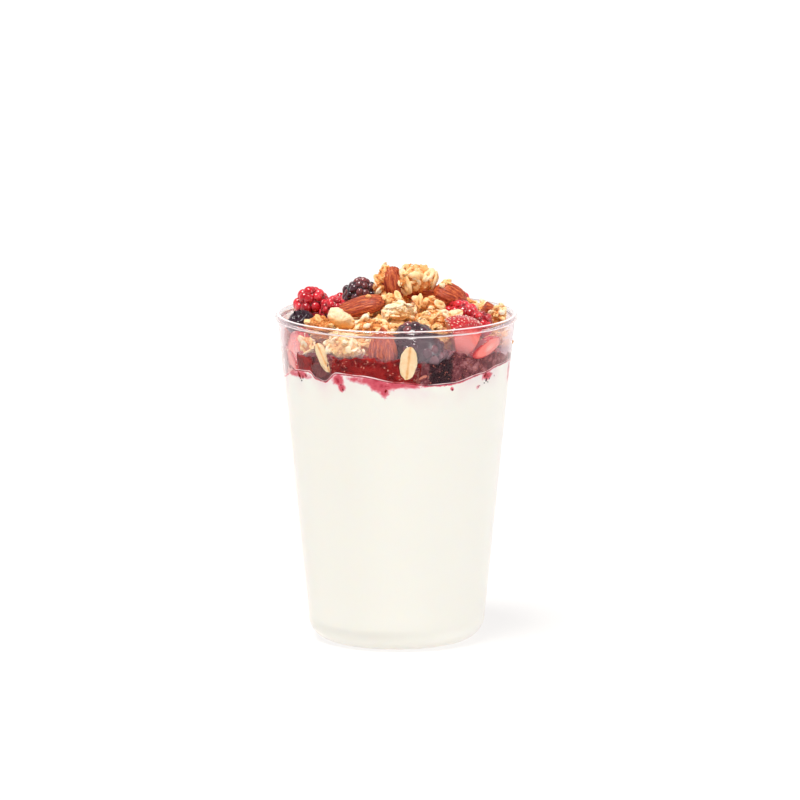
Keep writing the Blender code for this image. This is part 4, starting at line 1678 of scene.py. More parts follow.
@dataclass(frozen=True)
class Topping:
    """One topping: its CAD node, its size in mm before it is turned, and its turn in degrees.

    A topping that leans on the wall is flattened there by so many mm, and may stay a little behind it.
    A limp one wraps along the wall.
    """

    node: str
    size: Triple
    turn: Triple = (0.0, 0.0, 0.0)
    leans: float | None = None
    nudge: Triple = (0.0, 0.0, 0.0)
    behind: float = -0.2
    wraps: bool = False
    rim_zone: float = 3.0
    slot: Slot = Slot.GRANOLA

    def model(self, shop: Workshop) -> Workpiece:
        """Model the topping.

        Args:
            shop: What it is made with.

        Returns:
            The topping along its own axes, in mm and dressed.
        """
        raise NotImplementedError

    def build(self, shop: Workshop) -> None:
        """Model the topping and put it in its place.

        Args:
            shop: What it is made with.
        """
        piece = self.model(shop)
        piece.obj.name = f"{self.node}_piece"
        piece.seat(self.node, self.turn)
        piece.move_points(piece.points() + np.array(self.nudge) * MM)
        if self.leans is not None:
            self.press(piece, shop.cup)
        piece.hand_over(self.slot, self.node)
        shop.toppings.add(piece)

    def press(self, piece: Workpiece, cup: Cup) -> None:
        """Move the piece out to the wall, and flatten what would go past it.

        Args:
            piece: The piece, in metres.
            cup: The cup.
        """
        places = piece.points() / MM
        if self.wraps:
            places = self.wrap(places, cup)
        outwards = places.mean(0) * (1.0, 1.0, 0.0)
        top = cup.height - self.rim_zone
        below_rim = places[:, 2] < top
        radii = np.hypot(places[below_rim, 0], places[below_rim, 1])
        clearance = (cup.inner_radius(places[below_rim, 2]) - self.behind - radii).min()
        places += outwards / np.linalg.norm(outwards) * (clearance + self.leans)
        radii = np.hypot(places[:, 0], places[:, 1])
        room = cup.inner_radius(np.minimum(places[:, 2], top)) - self.behind
        places[:, :2] *= np.minimum(1.0, room / np.maximum(radii, TINY))[:, None]
        piece.move_points(places * MM)

    def wrap(self, places: np.ndarray, cup: Cup) -> np.ndarray:
        """Bend the piece along the wall.

        Args:
            places: Its vertices in mm.
            cup: The cup.

        Returns:
            The bent vertices.
        """
        middle = places.mean(0)
        out = middle * (1.0, 1.0, 0.0) / np.hypot(middle[0], middle[1])
        along = np.array([-out[1], out[0], 0.0])
        depths = (places @ out).max() - places @ out
        walls = cup.inner_radius(places[:, 2])
        turns = math.atan2(out[1], out[0]) + (places - middle) @ along / walls
        radii = walls + 0.1 - depths
        return np.column_stack([radii * np.cos(turns), radii * np.sin(turns), places[:, 2]])


@dataclass(frozen=True)
class DrupeletBerry(Topping):
    """A berry of drupelets round a hollow, its tip along +Z.

    The drupelets sit in rings from near the tip to the opening, in degrees, set in and spaced by shares
    of a drupelet.
    """

    slot: Slot = Slot.RASPBERRY
    drupelet: float = 3.0
    first_ring: float = 8.0
    set_in: float = 0.72
    ring_step: float = 0.76
    step_round: float = 0.8
    wilt: float = 0.16
    fill: float = 0.25
    opening: float = 150.0

    def model(self, shop: Workshop) -> Workpiece:
        """Model the berry.

        Args:
            shop: What it is made with.

        Returns:
            The berry along its own axes, in mm and dressed.
        """
        draws = draws_for(self.node)
        field = CopyField()
        half = [(extent - self.drupelet * self.set_in) / 2 for extent in self.size]
        step = math.degrees(self.drupelet * self.ring_step / (sum(half) / 3))
        ring, polar = 0, self.first_ring
        while polar < self.opening:
            lean = math.radians(polar)
            around = 2 * math.pi * math.sin(lean) * (half[0] + half[1]) / 2
            count = max(1, round(around / (self.drupelet * self.step_round)))
            for index in range(count):
                turn = (index + 0.5 * (ring % 2) + draws.uniform(-0.12, 0.12)) * math.tau / count
                way = Vector((
                    math.sin(lean) * math.cos(turn), math.sin(lean) * math.sin(turn), math.cos(lean)
                ))
                swell = 1.0 - 0.14 * way.z + draws.uniform(-self.wilt, self.wilt) * 0.5
                place = Vector((way.x * half[0] * swell, way.y * half[1] * swell, way.z * half[2]))
                tilt = Vector([draws.uniform(-0.15, 0.15) for _ in range(3)])
                size = self.drupelet * draws.uniform(0.92, 1.2)
                field.add(
                    shop.larder.drupelet, placing(place, way + tilt, draws.uniform(0, 6), size),
                    draws.random()
                )
            polar += step * draws.uniform(0.95, 1.05)
            ring += 1
        # The body that they sit on, hollow at its base. Left at the lowest tone, it shows dark in the gaps as
        # painted shade.
        heart = Workpiece.start("heart", Primitive.UV_SPHERE, segments=28, ring_count=20, radius=1.0)
        heart.fit([extent * 1.96 + self.fill * self.drupelet for extent in half])
        base = -half[2] * 0.86
        heart.pull(lambda co: co.z < base, (0.0, 0.0, half[2] * 1.15), half[0] * 0.72)
        field.add_body(heart)
        piece = field.build(self.node)
        piece.fit(self.size)
        piece.dress(shop.finishes.raspberry if self.slot is Slot.RASPBERRY else shop.finishes.dark_drupelets)
        return piece


@dataclass(frozen=True)
class SmoothBerry(Topping):
    """A small round berry, its crown of sepals along +Z."""

    slot: Slot = Slot.DARK_BERRY
    soaked: bool = False

    def model(self, shop: Workshop) -> Workpiece:
        """Model the berry.

        Args:
            shop: What it is made with.

        Returns:
            The berry along its own axes, in mm and dressed.
        """
        body = Workpiece.start(self.node, Primitive.UV_SPHERE, segments=64, ring_count=44, radius=1.0)
        body.fit(self.size)
        body.relief(Grain.CLOUDS, 3.0, 0.5)
        body.relief(Grain.CLOUDS, 1.2, 0.7, (1.0, 1.0, 4.0))
        top, ring = self.size[2] / 2, self.size[0] * 0.2
        body.pull(lambda co: co.z > 0 and math.hypot(co.x, co.y) < ring * 0.7, (0.0, 0.0, -0.9), ring * 0.9)
        field = CopyField()
        field.add_body(body)
        for index in range(6):
            turn = math.tau * index / 6
            way = Vector((math.cos(turn), math.sin(turn), 0.0))
            place = way * ring * 0.95 + Vector((0.0, 0.0, top - 0.55))
            aim = Matrix.Rotation(turn + math.pi / 2, 4, "Z") @ Matrix.Scale(self.size[0] * 0.19, 4)
            field.add(shop.larder.sepal, Matrix.Translation(place) @ aim, 0.0)
        piece = field.build(self.node)
        piece.fit(self.size)
        piece.dress(shop.finishes.soaked_berry if self.soaked else shop.finishes.smooth_berry)
        return piece


@dataclass(frozen=True)
class Almond(Topping):
    """An almond, blunt at -X and pointed at +X, with ridges along it; a chopped one is cut at both ends."""

    slot: Slot = Slot.ALMOND
    chopped: bool = False

    def model(self, shop: Workshop) -> Workpiece:
        """Model the almond.

        Args:
            shop: What it is made with.

        Returns:
            The almond along its own axes, in mm and dressed.
        """
        piece = Workpiece.start(
            self.node, Primitive.UV_SPHERE, segments=112, ring_count=56, radius=1.0,
            rotation=(0.0, math.pi / 2, 0.0)
        )
        piece.modify("SIMPLE_DEFORM", deform_method="TAPER", factor=-0.62, deform_axis="X")
        length = self.size[0] * (1.6 if self.chopped else 1.0)
        piece.fit((length, self.size[1], self.size[2]))
        piece.squeeze(
            lambda co: co.x > length * 0.44, (1.0, 0.55, 0.55), length * 0.22, (length / 2, 0.0, 0.0)
        )
        piece.relief(Grain.CLOUDS, 0.75, 0.5, (7.0, 1.0, 1.0))
        piece.relief(Grain.CLOUDS, 2.4, 0.5, (2.0, 1.0, 1.0))
        if self.chopped:
            piece.cut((length * 0.18, 0.0, 0.0), (1.0, 0.25, 0.1))
            piece.cut((-length * 0.22, 0.0, 0.0), (-1.0, 0.3, 0.2))
            piece.modify("REMESH", mode="VOXEL", voxel_size=0.16)
            piece.relief(Grain.CLOUDS, 0.8, 0.3)
        piece.fit(self.size)
        piece.mark_own()
        piece.dress(shop.finishes.almond)
        return piece


@dataclass(frozen=True)
class OatFlake(Topping):
    """One rolled oat, its length along X and its face along Z."""

    slot: Slot = Slot.OAT
    bent: float = 12.0

    def model(self, shop: Workshop) -> Workpiece:
        """Model the flake.

        Args:
            shop: What it is made with.

        Returns:
            The flake along its own axes, in mm and dressed.
        """
        length, width, thickness = self.size
        piece = Workpiece.start(
            self.node, Primitive.UV_SPHERE, segments=64, ring_count=48, radius=1.0,
            rotation=(0.0, math.pi / 2, 0.0)
        )
        piece.fit(self.size)
        for side in (1.0, -1.0):
            piece.pull(
                lambda co: abs(co.y) < width * 0.04 and co.z * side > 0 and abs(co.x) < length * 0.28,
                (0.0, 0.0, -side * thickness * 0.26), width * 0.24
            )
        piece.relief(Grain.CLOUDS, 0.9, 0.6, (2.5, 1.0, 1.0))
        piece.relief(Grain.CLOUDS, 0.4, 0.2)
        piece.bend(self.bent, "Y")
        piece.fit(self.size)
        piece.mark_own()
        across = piece.points()[:, 1] / (width * 0.07)
        piece.paint("tone", 0.5 * np.exp(-(across**2)))
        piece.dress(shop.finishes.oat)
        return piece


@dataclass(frozen=True)
class ToastedNut(Topping):
    """Half of a peeled nut, rounded towards -Y and flat behind."""

    slot: Slot = Slot.NUT

    def model(self, shop: Workshop) -> Workpiece:
        """Model the nut.

        Args:
            shop: What it is made with.

        Returns:
            The nut along its own axes, in mm and dressed.
        """
        piece = Workpiece.start(self.node, Primitive.UV_SPHERE, segments=72, ring_count=48, radius=1.0)
        piece.fit((self.size[0], self.size[1] * 1.5, self.size[2]))
        piece.cut((0.0, self.size[1] * 0.25, 0.0), (0.0, 1.0, 0.0))
        piece.modify("REMESH", mode="VOXEL", voxel_size=0.18)
        piece.modify("SMOOTH", factor=0.6, iterations=4)
        piece.squeeze(
            lambda co: co.x > self.size[0] * 0.38, (1.0, 0.8, 0.72), self.size[0] * 0.5,
            (self.size[0] / 2, 0.0, -0.6)
        )
        piece.pull(lambda co: co.x > self.size[0] * 0.4, (0.8, 0.0, -0.9), self.size[0] * 0.42)
        piece.pull(lambda co: co.z > self.size[2] * 0.42, (-1.2, 0.0, 0.0), self.size[2] * 0.5)
        piece.relief(Grain.CLOUDS, 2.4, 1.3)
        piece.relief(Grain.CLOUDS, 0.7, 0.25)
        piece.fit(self.size)
        piece.mark_own()
        piece.dress(shop.finishes.nut)
        return piece


@dataclass(frozen=True)
class GranolaCluster(Topping):
    """Oats and crumbs stuck together: a craggy heart, flakes on it, and crumbs between them."""

    slot: Slot = Slot.GRANOLA
    tone: float = 0.35
    flakes: int = 12
    flake_length: float = 5.6
    crumbs: int = 160
    crumb: float = 0.95
    soaked: bool = False

    def model(self, shop: Workshop) -> Workpiece:
        """Model the cluster.

        Args:
            shop: What it is made with.

        Returns:
            The cluster along its own axes, in mm and dressed.
        """
        draws = draws_for(self.node)
        heart = Workpiece.start(self.node + "_heart", Primitive.ICO_SPHERE, subdivisions=5, radius=1.0)
        heart.fit([extent - 1.8 for extent in self.size])
        heart.relief(Grain.CLOUDS, 3.6, 2.8)
        heart.relief(Grain.CELLS, 1.3, 1.1)
        heart.relief(Grain.CLOUDS, 0.6, 0.5)
        mesh = heart.obj.data
        faces = [(polygon.center.copy(), polygon.normal.copy()) for polygon in mesh.polygons]
        field = CopyField()
        for _ in range(self.flakes):
            place, normal = draws.choice(faces)
            lean = normal + Vector([draws.uniform(-0.55, 0.55) for _ in range(3)])
            size = self.flake_length * draws.uniform(0.7, 1.1)
            tone = min(1.0, max(0.0, self.tone - 0.12 + draws.uniform(-0.16, 0.2)))
            matrix = placing(place - normal * 0.15, lean, draws.uniform(0, math.tau), size)
            field.add(draws.choice(shop.larder.flakes), matrix, tone)
        for _ in range(self.crumbs):
            place, normal = draws.choice(faces)
            size = self.crumb * draws.choice((0.5, 0.7, 0.9, 1.2, 1.6))
            tone = min(1.0, max(0.0, self.tone + draws.uniform(-0.25, 0.4)))
            matrix = placing(place + normal * 0.1 * size, normal, draws.uniform(0, math.tau), size)
            field.add(draws.choice(shop.larder.crumbs), matrix, tone)
        # Painted shade: the heart is darker, where it shows between the flakes and crumbs.
        field.add_body(heart, min(1.0, self.tone + 0.18))
        piece = field.build(self.node)
        piece.fit(self.size)
        # Painted shade: darker towards the inside of the cluster, in its crevices.
        outness = np.linalg.norm(piece.points() / (np.array(self.size) / 2), axis=1)
        piece.deepen("tone", np.clip((0.96 - outness) * 1.1, 0.0, 0.45))
        piece.dress(shop.finishes.soaked if self.soaked else shop.finishes.granola)
        return piece


@dataclass(frozen=True)
class Strawberry(Topping):
    """A piece of strawberry; its kinds say how it is cut from the whole one, whose tip is at -Z.

    Each cut has a point, in shares of the whole one's radius, and a normal. The turn brings the whole
    strawberry's axes to the piece's own.
    """

    slot: Slot = Slot.STRAWBERRY
    cuts: tuple[tuple[Triple, Triple], ...] = ()
    face_turn: Triple = (0.0, 0.0, 0.0)
    whole: float = 1.0
    seeds: int = 110
    seed_size: float = 0.92
    seed_drift: float = 1.3
    voxel: float = 0.17

    def model(self, shop: Workshop) -> Workpiece:
        """Model the piece.

        Args:
            shop: What it is made with.

        Returns:
            The piece along its own axes, in mm and dressed.
        """
        radius = self.whole * max(self.size) / 2
        whole = Workpiece.start(self.node, Primitive.UV_SPHERE, segments=96, ring_count=64, radius=radius)
        whole.modify("SIMPLE_DEFORM", deform_method="TAPER", factor=0.34, deform_axis="Z")
        whole.fit((radius * 2, radius * 2, radius * 2.5))
        seats = self.seed_seats(whole)
        places = whole.points()
        for place, normal in seats:
            away = np.linalg.norm(places - np.array(place), axis=1)
            places -= np.array(normal) * (0.4 * np.exp(-((away / 0.55) ** 2)))[:, None]
        whole.move_points(places)
        skin = BVHTree.FromObject(whole.obj, bpy.context.evaluated_depsgraph_get())
        for (x, y, z), normal in self.cuts:
            whole.cut((x * radius, y * radius, z * radius), normal)
        whole.modify("REMESH", mode="VOXEL", voxel_size=self.voxel)
        whole.modify("SMOOTH", factor=0.5, iterations=3)
        places = whole.points()
        depths = np.array([skin.find_nearest(Vector(place))[3] for place in places])
        kept = BVHTree.FromObject(whole.obj, bpy.context.evaluated_depsgraph_get())
        field = CopyField()
        field.add_body(whole)
        draws = draws_for(self.node)
        for place, normal in seats:
            if kept.find_nearest(place)[3] < 0.5:
                size = self.seed_size * draws.uniform(0.75, 1.25)
                seat = placing(place - normal * 0.2, normal.orthogonal(), 0.0, size)
                field.add(shop.larder.seed, seat, 1.0)
        piece = field.build(self.node)
        depth = np.zeros(len(piece.obj.data.vertices))
        depth[: len(depths)] = np.clip(depths / (radius * 0.9), 0.0, 1.0)
        piece.paint("depth", depth)
        piece.turn(self.face_turn)
        piece.fit(self.size)
        piece.dress(shop.finishes.strawberry)
        return piece

    def seed_seats(self, whole: Workpiece) -> list[tuple[Vector, Vector]]:
        """Spread the seeds evenly over the whole strawberry.

        Args:
            whole: The whole strawberry.

        Returns:
            The place and normal of each seed.
        """
        surface = BVHTree.FromObject(whole.obj, bpy.context.evaluated_depsgraph_get())
        draws = draws_for(self.node + "_seeds")
        drift = self.seed_drift / math.sqrt(self.seeds)
        seats = []
        for index in range(self.seeds):
            height = 1 - 2 * (index + 0.5) / self.seeds
            turn = index * math.pi * (3 - math.sqrt(5))
            flat = math.sqrt(1 - height**2)
            way = Vector((flat * math.cos(turn), flat * math.sin(turn), height * 1.25))
            way += Vector([draws.uniform(-drift, drift) for _ in range(3)])
            place, normal, _, _ = surface.ray_cast(way * 50, -way.normalized())
            seats.append((place, normal))
        return seats


HALF_WEDGE = math.radians(27.0)


@dataclass(frozen=True)
class StrawberryWedge(Strawberry):
    """A wedge: the seeded skin above, two cut sides meeting in an edge below."""

    # The two sides through the axis, then the hulled top and the tip.
    cuts: tuple[tuple[Triple, Triple], ...] = (
        ((0.0, 0.0, 0.0), (-math.cos(HALF_WEDGE), -math.sin(HALF_WEDGE), 0.0)),
        ((0.0, 0.0, 0.0), (math.cos(HALF_WEDGE), -math.sin(HALF_WEDGE), 0.0)),
        ((0.0, 0.0, 0.35), (0.0, 0.0, 1.0)), ((0.0, 0.0, -0.4), (0.0, 0.0, -1.0))
    )
    face_turn: Triple = (90.0, 0.0, 0.0)
    whole: float = 2.0
    seeds: int = 1300


@dataclass(frozen=True)
class StrawberrySlice(Strawberry):
    """A slice along the strawberry, its tip up, with skin round its edge."""

    cuts: tuple[tuple[Triple, Triple], ...] = (
        ((0.0, 0.12, 0.0), (0.0, 1.0, 0.0)), ((0.0, -0.28, 0.0), (0.0, -1.0, 0.0))
    )
    face_turn: Triple = (0.0, 180.0, 0.0)


TOPPINGS: tuple[Topping, ...] = (
    # The crown of the heap.
    GranolaCluster(
        "granola_cluster_top", (15.6, 10.0, 11.2), (0, 6, 10), nudge=(-0.8, -1.2, 0), tone=0.3, flakes=30,
        flake_length=6.8, crumbs=110
    ),
    Almond("almond_top", (14.6, 7.8, 6.6), (70, 84, 0), nudge=(2.2, 0.6, 0.0)),
    GranolaCluster(
        "granola_cluster_top_left", (8.0, 7.0, 13.0), (0, 14, 0), nudge=(2.6, -3.4, -0.2), tone=0.3, flakes=8,
        crumbs=110
    ),
    Almond("almond_right", (12.6, 9.6, 7.6), (35, 20, -14), nudge=(1.0, 0, -0.4)),
    Almond("almond_left", (18.6, 8.6, 5.8), (-24, 14, 180), nudge=(-1.0, -3.2, -0.2)),
    DrupeletBerry(
        "dark_berry_top", (11.6, 10.4, 10.4), (10, 20, 0), nudge=(0.5, 0, 0), slot=Slot.DARK_BERRY,
        drupelet=2.9, wilt=0.25, fill=0.5
    ),
    # The front of the heap, above the rim.
    DrupeletBerry(
        "raspberry_left", (13.4, 12.8, 13.6), (12, -16, 30), drupelet=3.7, fill=0.4, nudge=(0.4, 0, -0.3)
    ),
    DrupeletBerry(
        "raspberry_inner", (9.6, 9.8, 10.6), (24, 14, 0), drupelet=3.0, fill=0.35, nudge=(-0.8, 1.4, -0.2)
    ),
    SmoothBerry("dark_berry_small", (9.6, 9.4, 9.0), (30, -20, 0), nudge=(0.2, -1.6, 0.6)),
    ToastedNut("toasted_nut", (10.4, 5.8, 7.0), (-14, 14, 0)),
    GranolaCluster(
        "granola_cluster_left", (9.6, 8.0, 8.4), (0, 0, -40), nudge=(0.8, 0, 0), tone=0.5, flakes=14,
        crumbs=240
    ),
    GranolaCluster("granola_cluster_front", (10.6, 7.6, 8.2), (0, 8, 0), tone=0.18),
    GranolaCluster(
        "granola_cluster_pale", (11.8, 8.0, 9.0), (8, 0, 12), tone=-0.26, flakes=16, flake_length=6.4
    ),
    GranolaCluster(
        "granola_cluster_mid", (11.6, 7.0, 6.4), (0, 6, 0), tone=0.36, flakes=14, flake_length=6.4
    ),
    GranolaCluster("granola_cluster_gold", (9.0, 6.4, 8.0), (0, 0, 20), tone=0.4, flakes=9),
    OatFlake("oat_flake_curved", (7.6, 4.4, 1.7), (50, -26, 0), nudge=(-0.6, 0, -0.7), bent=50.0),
    DrupeletBerry(
        "dark_berry_large", (19.0, 16.8, 21.6), (0, -24, 0), leans=1.2, behind=1.1, nudge=(-2.0, 0, 0.2),
        slot=Slot.DARK_BERRY, drupelet=3.8, wilt=0.1, fill=0.88, opening=164.0
    ),
    GranolaCluster("granola_cluster_right", (12.0, 7.2, 7.4), (0, 4, 8), tone=0.3, flakes=14),
    StrawberryWedge(
        "strawberry_wedge_right", (11.8, 10.6, 17.8), (22, 4, 18), leans=1.2, nudge=(-3.4, -1.4, -1.0)
    ),
    DrupeletBerry(
        "raspberry_right", (12.6, 12.2, 14.6), (58, 62, 0), drupelet=3.5, fill=0.35, nudge=(-1.2, -1.2, 1.4)
    ),
    DrupeletBerry(
        "raspberry_edge", (8.8, 8.6, 9.0), (30, 40, 0), drupelet=2.9, fill=0.35, nudge=(-0.8, -0.8, 0.4)
    ),
    Almond("almond_chopped", (6.0, 5.4, 7.4), (0, 20, 30), nudge=(-0.8, 0, -1.0), chopped=True),
    GranolaCluster(
        "granola_cluster_edge", (6.6, 6.6, 7.8), (0, 0, 20), tone=0.26, flakes=12, flake_length=4.2
    ),
    GranolaCluster("granola_crumb_right", (6.0, 5.4, 4.8), (0, 0, 0), tone=0.36, flakes=4, crumbs=45),
    # What shows through the front wall, below the rim.
    OatFlake("oat_flake_front", (11.2, 6.0, 2.2), (90, -84, 0), leans=0.9, wraps=True, bent=4.0),
    Almond("almond_front", (13.6, 9.8, 7.0), (84, -90, -8), leans=-0.7),
    GranolaCluster(
        "granola_crumb_wall", (6.4, 3.4, 5.6), (0, 0, 12), leans=0.8, tone=0.4, flakes=1, soaked=True
    ),
    GranolaCluster("granola_cluster_wall", (14.4, 6.4, 9.6), (0, 4, -28), leans=0.3, tone=-0.2, flakes=18),
    OatFlake("oat_flake_left", (10.4, 4.6, 1.8), (60, 62, -40), leans=0.8, wraps=True, nudge=(0.8, 0, 0)),
    GranolaCluster(
        "granola_cluster_low", (7.4, 4.4, 6.6), (0, 0, -48), leans=0.2, nudge=(1.4, 0, 1.4), tone=0.2,
        crumbs=50
    ),
    SmoothBerry("dark_berry_low", (9.8, 8.2, 7.8), (20, 10, 0), leans=1.2, soaked=True),
    StrawberrySlice(
        "strawberry_slice_left", (21.0, 3.4, 12.6), (0, -10, -78), leans=0.2, wraps=True,
        nudge=(-0.4, -0.6, -2.0)
    ),
    StrawberrySlice(
        "strawberry_half_left", (13.4, 4.2, 16.4), (0, 12, -56), leans=0.1, wraps=True,
        nudge=(1.4, -2.2, -1.0)
    ),
    StrawberrySlice(
        "strawberry_slice_right", (17.0, 3.4, 5.4), (0, -13, 57), leans=0.2, wraps=True,
        nudge=(-2.6, -4.0, 1.2)
    ),
    # The back of the heap.
    DrupeletBerry("raspberry_back_left", (12.4, 12.0, 12.6), (-30, 10, 0), nudge=(0, 1.2, -3.4)),
    GranolaCluster(
        "granola_cluster_back", (13.0, 9.0, 9.0), (0, 0, 16), nudge=(3.6, -2.6, 0), tone=0.26, flakes=18
    ),
    Almond("almond_back", (15.8, 9.0, 6.6), (-24, 8, 24)),
    SmoothBerry("dark_berry_back", (10.8, 10.6, 10.0), (-20, 0, 0)),
    StrawberryWedge("strawberry_wedge_back", (12.8, 11.0, 13.0), (0, 0, 170), nudge=(1.6, 2.2, -1.8)),
    DrupeletBerry("raspberry_back_right", (11.8, 11.6, 12.0), (24, -30, 0)),
    GranolaCluster("granola_cluster_back_right", (9.6, 8.6, 8.0), (0, 0, 60), tone=0.2),
    GranolaCluster("granola_cluster_back_left", (10.2, 8.6, 8.2), (0, 0, 50), tone=0.34),
    StrawberrySlice("strawberry_slice_back", (14.0, 4.0, 13.0), (0, 14, 219), leans=0.2, wraps=True),
    GranolaCluster(
        "granola_cluster_back_wall", (13.2, 5.8, 9.0), (0, 0, 188), leans=0.3, tone=0.14, flakes=14
    ),
    OatFlake("oat_flake_back", (10.6, 5.2, 1.8), (84, 60, 160), leans=0.3),
    SmoothBerry("dark_berry_back_wall", (10.2, 9.6, 10.4), (10, 0, 0), leans=0.9),
    GranolaCluster("granola_cluster_back_rim", (8.6, 5.6, 8.4), (0, 0, 0), tone=0.3, flakes=8, crumbs=70),
    SmoothBerry("dark_berry_back_rim", (8.8, 8.4, 9.0), (0, 30, 0)),
    GranolaCluster("granola_cluster_back_side", (7.4, 6.6, 7.4), (0, 0, 30), tone=0.26, flakes=8, crumbs=60),
    Almond("almond_back_wall", (14.6, 8.8, 6.2), (70, -64, -98), leans=0.2),
)


# What lies loose.


@dataclass(frozen=True)
class LooseGranola:
    """Oats, crumbs and grains strewn over the bed, but not where the toppings at the front leave no room."""

    shop: Workshop
    bed: Contents
    oats: int = 760
    crumbs: int = 1900
    grains: int = 6500
    drop_from: float = 130.0
    fall: float = 40.0
    spread_at: float = 104.0
    from_wall: float = 2.0
    front_from: float = -95.0
    front_to: float = 90.0
    front_radius: float = 28.5
    # Small heaps of crumbs on the toppings: x, y and spread in mm, and how many.
    sprinkles: tuple[tuple[float, float, float, int], ...] = (
        (-9.5, -17.0, 4.5, 80), (16.0, -1.0, 2.2, 16), (-3.0, -9.0, 3.0, 24), (11.0, -21.0, 4.0, 50),
        (33.0, -6.0, 2.4, 24), (22.0, 6.0, 3.0, 16), (-20.0, -27.0, 3.2, 30)
    )

    def build(self) -> None:
        """Strew the loose pieces, those of each kind as one piece."""
        larder, finishes = self.shop.larder, self.shop.finishes
        draws = draws_for("loose_granola")
        for name, count, templates, finish, slot, sizes in (
            ("loose_oats", self.oats, larder.loose_flakes, finishes.oat, Slot.OAT, (3.4, 4.2, 4.9, 5.6)),
            (
                "loose_crumbs", self.crumbs, larder.crumbs, finishes.granola, Slot.GRANOLA,
                (1.0, 1.3, 1.8, 2.4)
            ),
            ("loose_grains", self.grains, larder.grains, finishes.granola, Slot.GRANOLA, (0.5, 0.7, 0.9, 1.2))
        ):
            field = CopyField()
            for _ in range(count):
                self.drop(field, templates, sizes, draws)
            if templates is larder.crumbs:
                self.sprinkle(field, draws)
            field.build(name).finish(finish, slot)

    def sprinkle(self, field: CopyField, draws: random.Random) -> None:
        """Scatter the small heaps of crumbs.

        Args:
            field: Where the copies are added.
            draws: The random draws.
        """
        for x, y, spread, count in self.sprinkles:
            for _ in range(count):
                start = Vector((
                    x + draws.gauss(0, spread / 2), y + draws.gauss(0, spread / 2), self.drop_from
                ))
                hit = self.shop.toppings.first_hit(start, DOWN, self.fall)
                if hit is None or hit[1].z < 0.1:
                    continue
                size = draws.choice((0.7, 1.0, 1.3, 1.7, 2.2))
                place = start + DOWN * (hit[0] - 0.2 * size)
                matrix = placing(place, hit[1], draws.uniform(0, math.tau), size)
                field.add(draws.choice(self.shop.larder.crumbs), matrix, draws.uniform(0.1, 0.5))

    def drop(
        self, field: CopyField, templates: list[Template], sizes: tuple[float, ...], draws: random.Random
    ) -> None:
        """Drop one piece at a random place, unless a topping is in its way.

        Args:
            field: Where its copy is added.
            templates: The shapes to choose from.
            sizes: The sizes to choose from, in mm.
            draws: The random draws.
        """
        radius = (self.shop.cup.inner_radius(self.spread_at) - self.from_wall) * math.sqrt(draws.random())
        turn = draws.uniform(-180.0, 180.0)
        if self.front_from < turn < self.front_to and radius > self.front_radius:
            return
        way = math.radians(turn)
        start = Vector((radius * math.sin(way), -radius * math.cos(way), self.drop_from))
        hit = self.bed.first_hit(start, DOWN, self.fall)
        on_topping = self.shop.toppings.first_hit(start, DOWN, self.fall)
        if hit is None or (on_topping and on_topping[0] < hit[0]):
            return
        size = draws.choice(sizes) * draws.uniform(0.9, 1.1)
        place = start + DOWN * (hit[0] - 0.1 * size)
        lean = hit[1] + Vector([draws.uniform(-0.4, 0.4) for _ in range(3)])
        if lean.z < 0:
            lean = UP
        tone = min(1.0, max(0.0, draws.gauss(0.34, 0.2)))
        field.add(draws.choice(templates), placing(place, lean, draws.uniform(0, math.tau), size), tone)


# The studio.


class WhiteFloor(Finish):
    """A plain floor, nearly as white as its surround."""

    name: str = "white_floor"
    grey: Colour = (0.22, 0.22, 0.22, 1.0)
    light: Colour = (0.2244, 0.2244, 0.2244, 1.0)
    tint: Colour = (1.0, 0.98, 0.965, 1.0)
    glow: float = 0.77

    def lay(self) -> None:
        """Lay the nodes."""
        self.colour(self.ramp(self.noise(self.place(), 40.0, 3.0), (0.3, self.grey), (0.7, self.light)))
        self.settings(Emission_Color=self.tint, Emission_Strength=self.glow)
        self.settings(Specular_IOR_Level=0.1, Roughness=0.9)


